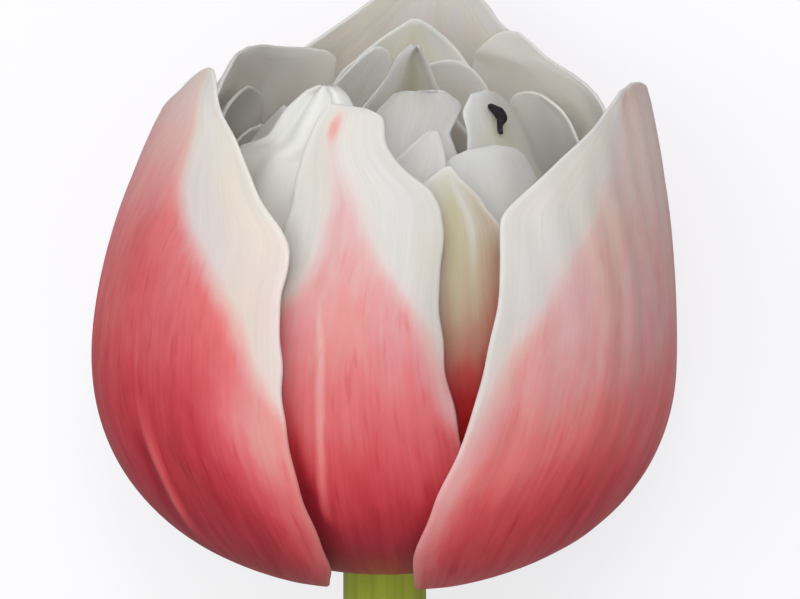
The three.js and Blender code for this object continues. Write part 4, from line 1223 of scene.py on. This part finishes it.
def grow_leaf(name, leaf, seed):
    points, along, across, widest = leaf_surface(leaf)
    u, v = across * widest, along * LEAF_PATTERN_LENGTH
    started = smooth(*KEEL_STARTS, along)
    keel = KEEL * np.exp(-((across / KEEL_WIDTH) ** 2)) * started * (1 - smooth(*KEEL_ENDS, along))
    veins = VEIN_RELIEF * np.cos(2 * np.pi * u / VEIN_STEP + VEIN_STRAY * wander(u, v, seed, *STRAY_SPREAD))
    swell = LEAF_SWELL * wander(u, v, seed + 1, *LEAF_SWELL_SIZE) * started
    relief = (keel + veins + swell) * smooth(*LEAF_RELIEF_STARTS, along)
    points = points + normals(points, along, across) * relief[..., None]
    rim = rim_distance(points)
    thick = LEAF_THICKNESS * (THIN_SHARE + (1 - THIN_SHARE) * smooth(0, THIN_WIDTH, rim))
    faces = sheet_faces(points, along, across, rounded(thick, rim))
    young = YOUNG_FOOT * (1 - smooth(*YOUNG_REACH, along))
    young = young + YOUNG_KEEL * np.exp(-((across / YOUNG_WIDTH) ** 2)) * (1 - along)
    margin = LEAF_MARGIN * (1 - smooth(*LEAF_MARGIN_BAND, rim))
    place = np.stack([u, v, 0 * u + LEAF_PATTERN_STEP * seed], axis=-1)
    values = {"place": (place, place), "young": (young, young), "margin": (margin, margin)}
    return skin(name, faces, along, across, values, LEAF_SKIN)


for seed, (name, leaf) in enumerate(LEAVES.items(), FIRST_LEAF_SEED):
    piece = grow_leaf(name, leaf, seed)
    print(name, "has", len(piece.data.polygons), "faces")

# %% [markdown]
# The heart of the bloom. The pistil is a three-sided ovary, pale green, with a cream stigma of three
# folded lobes that is rough with tiny hairs. Six stamens stand round it, each a pale thread with a dark
# anther, dusty with pollen. Both are two grainy tissues that meet, so they share one function. A number
# on the mesh says which tissue it is.
#
# The hairs and the dust are finer than 0.1 mm. They are drawn as grains of 0.4 mm and 0.3 mm, so that
# they show.

# %% Heart finishes
HAIRS, DUST = 2600.0, 3200.0  # per metre
THREAD_AND_ANTHER = {1: 0.0, 2: 1.0, 3: 0.5, 4: 0.92}  # from which tissue it is to a roughness


def grainy_finish(name, key, grain, detail, tones, other_tones, strength, depth):
    """A finish of two tissues. The mesh's number called key chooses, and the grains' depth is in mm."""
    material, tree, shader = new_finish(name)
    which = add(tree, "Attribute", attribute_name=key).outputs["Fac"]
    place = add(tree, "TexCoord").outputs["Object"]
    grains = add(tree, "TexNoise", {"Vector": place, "Scale": grain, "Detail": detail})
    first, other = [add(tree, "ValToRGB", {0: grains}, stops) for stops in (tones, other_tones)]
    fill(tree, shader, {
        "Base Color": add(tree, "Mix", {0: which, 6: first, 7: other}, data_type="RGBA"),
        "Normal": add(tree, "Bump", {"Height": grains, "Strength": strength, "Distance": depth * MM}),
    })
    return material, tree, shader, which


PISTIL_SKIN, tree, shader, _ = grainy_finish(
    "pistil, pale green tissue", "stigma", HAIRS, 2.0,
    [(0.3, "#9FAF62"), (0.7, "#C3CB8C")], [(0.3, "#CFC58A"), (0.7, "#EFE8C0")], 0.5, 0.15,
)
fill(tree, shader, {"IOR": 1.42, "Roughness": 0.55})
STAMEN_SKIN, tree, shader, which = grainy_finish(
    "stamen, pale thread and dusty dark anther", "anther", DUST, 3.0,
    [(0.3, "#C2B7A6"), (0.7, "#DDD6C4")],
    [(0.35, "#141014"), (0.75, "#54454E"), (0.58, "#241B22")], 0.7, 0.2,
)
fill(tree, shader, {"IOR": 1.45, "Roughness": add(tree, "MapRange", {0: which, **THREAD_AND_ANTHER})})
print("made:", PISTIL_SKIN.name, "/", STAMEN_SKIN.name)

# %% [markdown]
# The pistil stands on the receptacle, in the bloom's axis. It is a tube with three lobes, which are
# deeper at the stigma, and the stigma's edge is frilled.

# %% The pistil
HEART = RECEPTACLE_HEIGHT + GAP  # mm up the bloom's axis
PISTIL = [  # height and radius in mm
    [0, 1.5], [1.2, 1.9], [4, 2.9], [11, 3.1], [15, 2.6], [16.5, 3.3], [18.5, 3.7], [19.4, 2.6],
]
PISTIL_SIDES, PISTIL_ROOM = 60, 0.985  # and a share, so that the lobes stay inside the model's pistil
OVARY_LOBES, STIGMA_LOBES, LOBES_DEEPEN = 0.07, 0.15, (14.5, 16.5)  # shares of the radius, and mm of height
STIGMA_STARTS = (14.8, 16.2)  # mm of height
FRILL, FRILLS, FRILL_TWIST = 0.05, 21, 3  # a share of the radius, how many, and radians for each mm
PISTIL_FOOT, PISTIL_TOP = 0.3, (0.75, 0.35)  # the radius at its first ring and its last two, in shares

pistil_height = np.concatenate([[0.0, 0.02], np.linspace(0.15, 19.1, 70), [19.3, 19.38, 19.4]])
pistil_radius = curve(PISTIL)(pistil_height)
pistil_radius[0] *= PISTIL_FOOT
pistil_radius[-2:] *= PISTIL_TOP
pistil_turn, up = angles(PISTIL_SIDES), pistil_height[:, None]
stigma = smooth(*STIGMA_STARTS, up)
lobes = (OVARY_LOBES + STIGMA_LOBES * smooth(*LOBES_DEEPEN, up)) * np.cos(3 * pistil_turn)
frill = FRILL * np.cos(FRILLS * pistil_turn + FRILL_TWIST * up) * stigma
pistil_radii = pistil_radius[:, None] * (1 + lobes + frill) * PISTIL_ROOM
pistil_middles = from_bloom(around_axis(0 * pistil_height, HEART + pistil_height, 0.0))
tube("pistil", pistil_middles, pistil_radii, {"stigma": stigma}, PISTIL_SKIN)
print("the pistil is", pistil_height[-1], "mm high")

# %% [markdown]
# An anther is four long sacs side by side. Here it is the thick upper part of a stamen's tube, with four
# lobes.

# %% The stamens
STAMEN = [  # mm out from the axis, height and radius
    [2.55, 0, 0.62], [3.5, 2.4, 0.62], [4.6, 4.8, 0.62], [5.5, 7.4, 0.6], [5.7, 8.2, 1.05],
    [5.9, 9.6, 1.25], [6.3, 13, 1.2], [6.5, 15.4, 0.9], [6.6, 16.2, 0.35],
]
STAMENS, FIRST_AZIMUTH = 6, 20  # how many, and degrees
STAMEN_SIDES, STAMEN_ROOM = 28, 0.96  # and a share, so that the sacs stay inside the model's stamen
ANTHER_STARTS, ANTHER_TIP = (7.4, 8.1), 0.5  # mm of height, and the last ring's share of its radius
SACS, SAC_DEPTH, SAC_MIDDLE = 4, 0.13, 0.4  # how many, how deep in radii, and what pulls them all in a little

stamen_height = np.concatenate([np.linspace(0, 7.4, 22), np.linspace(7.55, 16.05, 40), [16.15, 16.2]])
stamen_out = curve([[height, out] for out, height, _ in STAMEN])(stamen_height)
stamen_thick = curve([[height, thick] for _, height, thick in STAMEN])(stamen_height)
stamen_thick[-1] *= ANTHER_TIP
is_anther = smooth(*ANTHER_STARTS, stamen_height)[:, None]
stamen_turn = angles(STAMEN_SIDES)
for number in range(STAMENS):
    sacs = 1 + SAC_DEPTH * is_anther * (np.cos(SACS * stamen_turn + number) - SAC_MIDDLE)
    azimuth = FIRST_AZIMUTH + 360 / STAMENS * number
    middles = from_bloom(around_axis(stamen_out, HEART + stamen_height, azimuth))
    stamen_radii = stamen_thick[:, None] * sacs * STAMEN_ROOM
    tube(f"stamen_{number + 1}", middles, stamen_radii, {"anther": is_anther}, STAMEN_SKIN)
print("stamens:", STAMENS)

# %% [markdown]
# One stamen has half turned into a petal, as often happens in a double flower, and carries its anther out
# to the mouth, where the photograph shows it. This anther lies on the petal's outer face.

# %% The loose anther
ANTHER = [  # level, azimuth and radius on the petal-like stamen
    [44.7, 51, 0.27], [45.3, 52, 0.28], [45.7, 53, 0.4], [46.1, 54, 0.55], [46.5, 53, 0.55],
    [46.9, 51, 0.42], [47.3, 48.5, 0.28],
]
ANTHER_RINGS, ANTHER_END = 48, 0.5  # and the share of its radius that the first and last ring have
ANTHER_RISE = 0.95  # how high its middle lies above the gap, in radii
LOOSE_SAC_DEPTH, LOOSE_SAC_MIDDLE = 0.12, 0.3

anther_walk = np.linspace(0, len(ANTHER) - 1, ANTHER_RINGS)
level, azimuth, anther_radius = [curve(list(enumerate(column)))(anther_walk) for column in zip(*ANTHER)]
anther_radius[[0, -1]] *= ANTHER_END
anther_ring = PETALS["petaloid_stamen"]["ring"]
anther_share = np.array([share_at(anther_ring, height) for height in level])
surface_radius, surface_height, _ = ring_profile(anther_ring, anther_share)
anther_out = surface_radius + CAD_THICKNESS / 2 + GAP + anther_radius * ANTHER_RISE
anther_middles = from_bloom(on_ring(anther_out, surface_height, azimuth))
anther_sacs = 1 + LOOSE_SAC_DEPTH * (np.cos(SACS * stamen_turn) - LOOSE_SAC_MIDDLE)
anther_radii = anther_radius[:, None] * anther_sacs
all_anther = np.ones((ANTHER_RINGS, 1))
tube("petaloid_anther", anther_middles, anther_radii, {"anther": all_anther}, STAMEN_SKIN)
print("the loose anther is", steps(anther_middles, 0).sum().round(1), "mm long")

# %% [markdown]
# The table. The photograph has a plain white ground, so the table is a sheet of matt acrylic with light
# of its own. It lies a little under the bloom, and throws no light or shadow on it.

# %% The table
TABLE_HALF, TABLE_DROP, TABLE_GLOW = 4.0, -3e-5, 0.72  # m, m, and its own light
WHITE = "#FAFAFC"

floor_finish, tree, shader = new_finish("white light table, matt acrylic")
floor_noise = add(tree, "TexNoise", {"Scale": 60.0, "Detail": 3.0})
fill(tree, shader, {
    "Base Color": add(tree, "Mix", {0: floor_noise, 6: "#8C8C8D", 7: "#909091"}, data_type="RGBA"),
    "Roughness": 0.9, "Specular IOR Level": 0.2, "Emission Color": WHITE, "Emission Strength": TABLE_GLOW,
})
floor_mesh = bpy.data.meshes.new("table")
floor_signs = ((-1, -1), (1, -1), (1, 1), (-1, 1))
floor_corners = [(x * TABLE_HALF, y * TABLE_HALF, TABLE_DROP) for x, y in floor_signs]
floor_mesh.from_pydata(floor_corners, [], [(0, 1, 2, 3)])
floor_mesh.materials.append(floor_finish)
floor = bpy.data.objects.new("table", floor_mesh)
floor.visible_diffuse = floor.visible_glossy = floor.visible_shadow = False
bpy.context.scene.collection.objects.link(floor)
print("the table is", 2 * TABLE_HALF, "m wide")

# %% [markdown]
# The light. The photograph has soft light on white, with no hard shadow. Most of it comes from the room,
# which is a little brighter above than below. A wide key light from the upper left shapes the petals, and
# a smaller one lights the mouth.

# %% Light
ROOM_ABOVE, ROOM_BELOW = 0.48, 0.33
KEY_LIGHT = ((-0.42, 0.36, 1.1), 1.2, 8.9)  # place in m, size in m, power in W
FILL_LIGHT = ((0.05, 0.65, 1.2), 0.35, 5.1)

world = bpy.data.worlds.new("studio")
bpy.context.scene.world = world
world.use_nodes = True
tree = world.node_tree
direction = add(tree, "TexCoord").outputs["Generated"]
upwards = add(tree, "SeparateXYZ", {0: direction}).outputs["Z"]
room = add(tree, "MapRange", {0: upwards, 1: -0.5, 2: 0.5, 3: ROOM_BELOW, 4: ROOM_ABOVE})
fill(tree, tree.nodes["Background"], {"Color": WHITE, "Strength": room})


def soft_light(name, place, size, power):
    light = bpy.data.lights.new(name, "AREA")
    light.size = size
    light.energy = power
    lamp = bpy.data.objects.new(name, light)
    lamp.location = place
    lamp.rotation_euler = Vector(place).to_track_quat("Z", "Y").to_euler()
    bpy.context.scene.collection.objects.link(lamp)


soft_light("key", *KEY_LIGHT)
soft_light("fill", *FILL_LIGHT)
bpy.context.scene.view_settings.view_transform = "Standard"
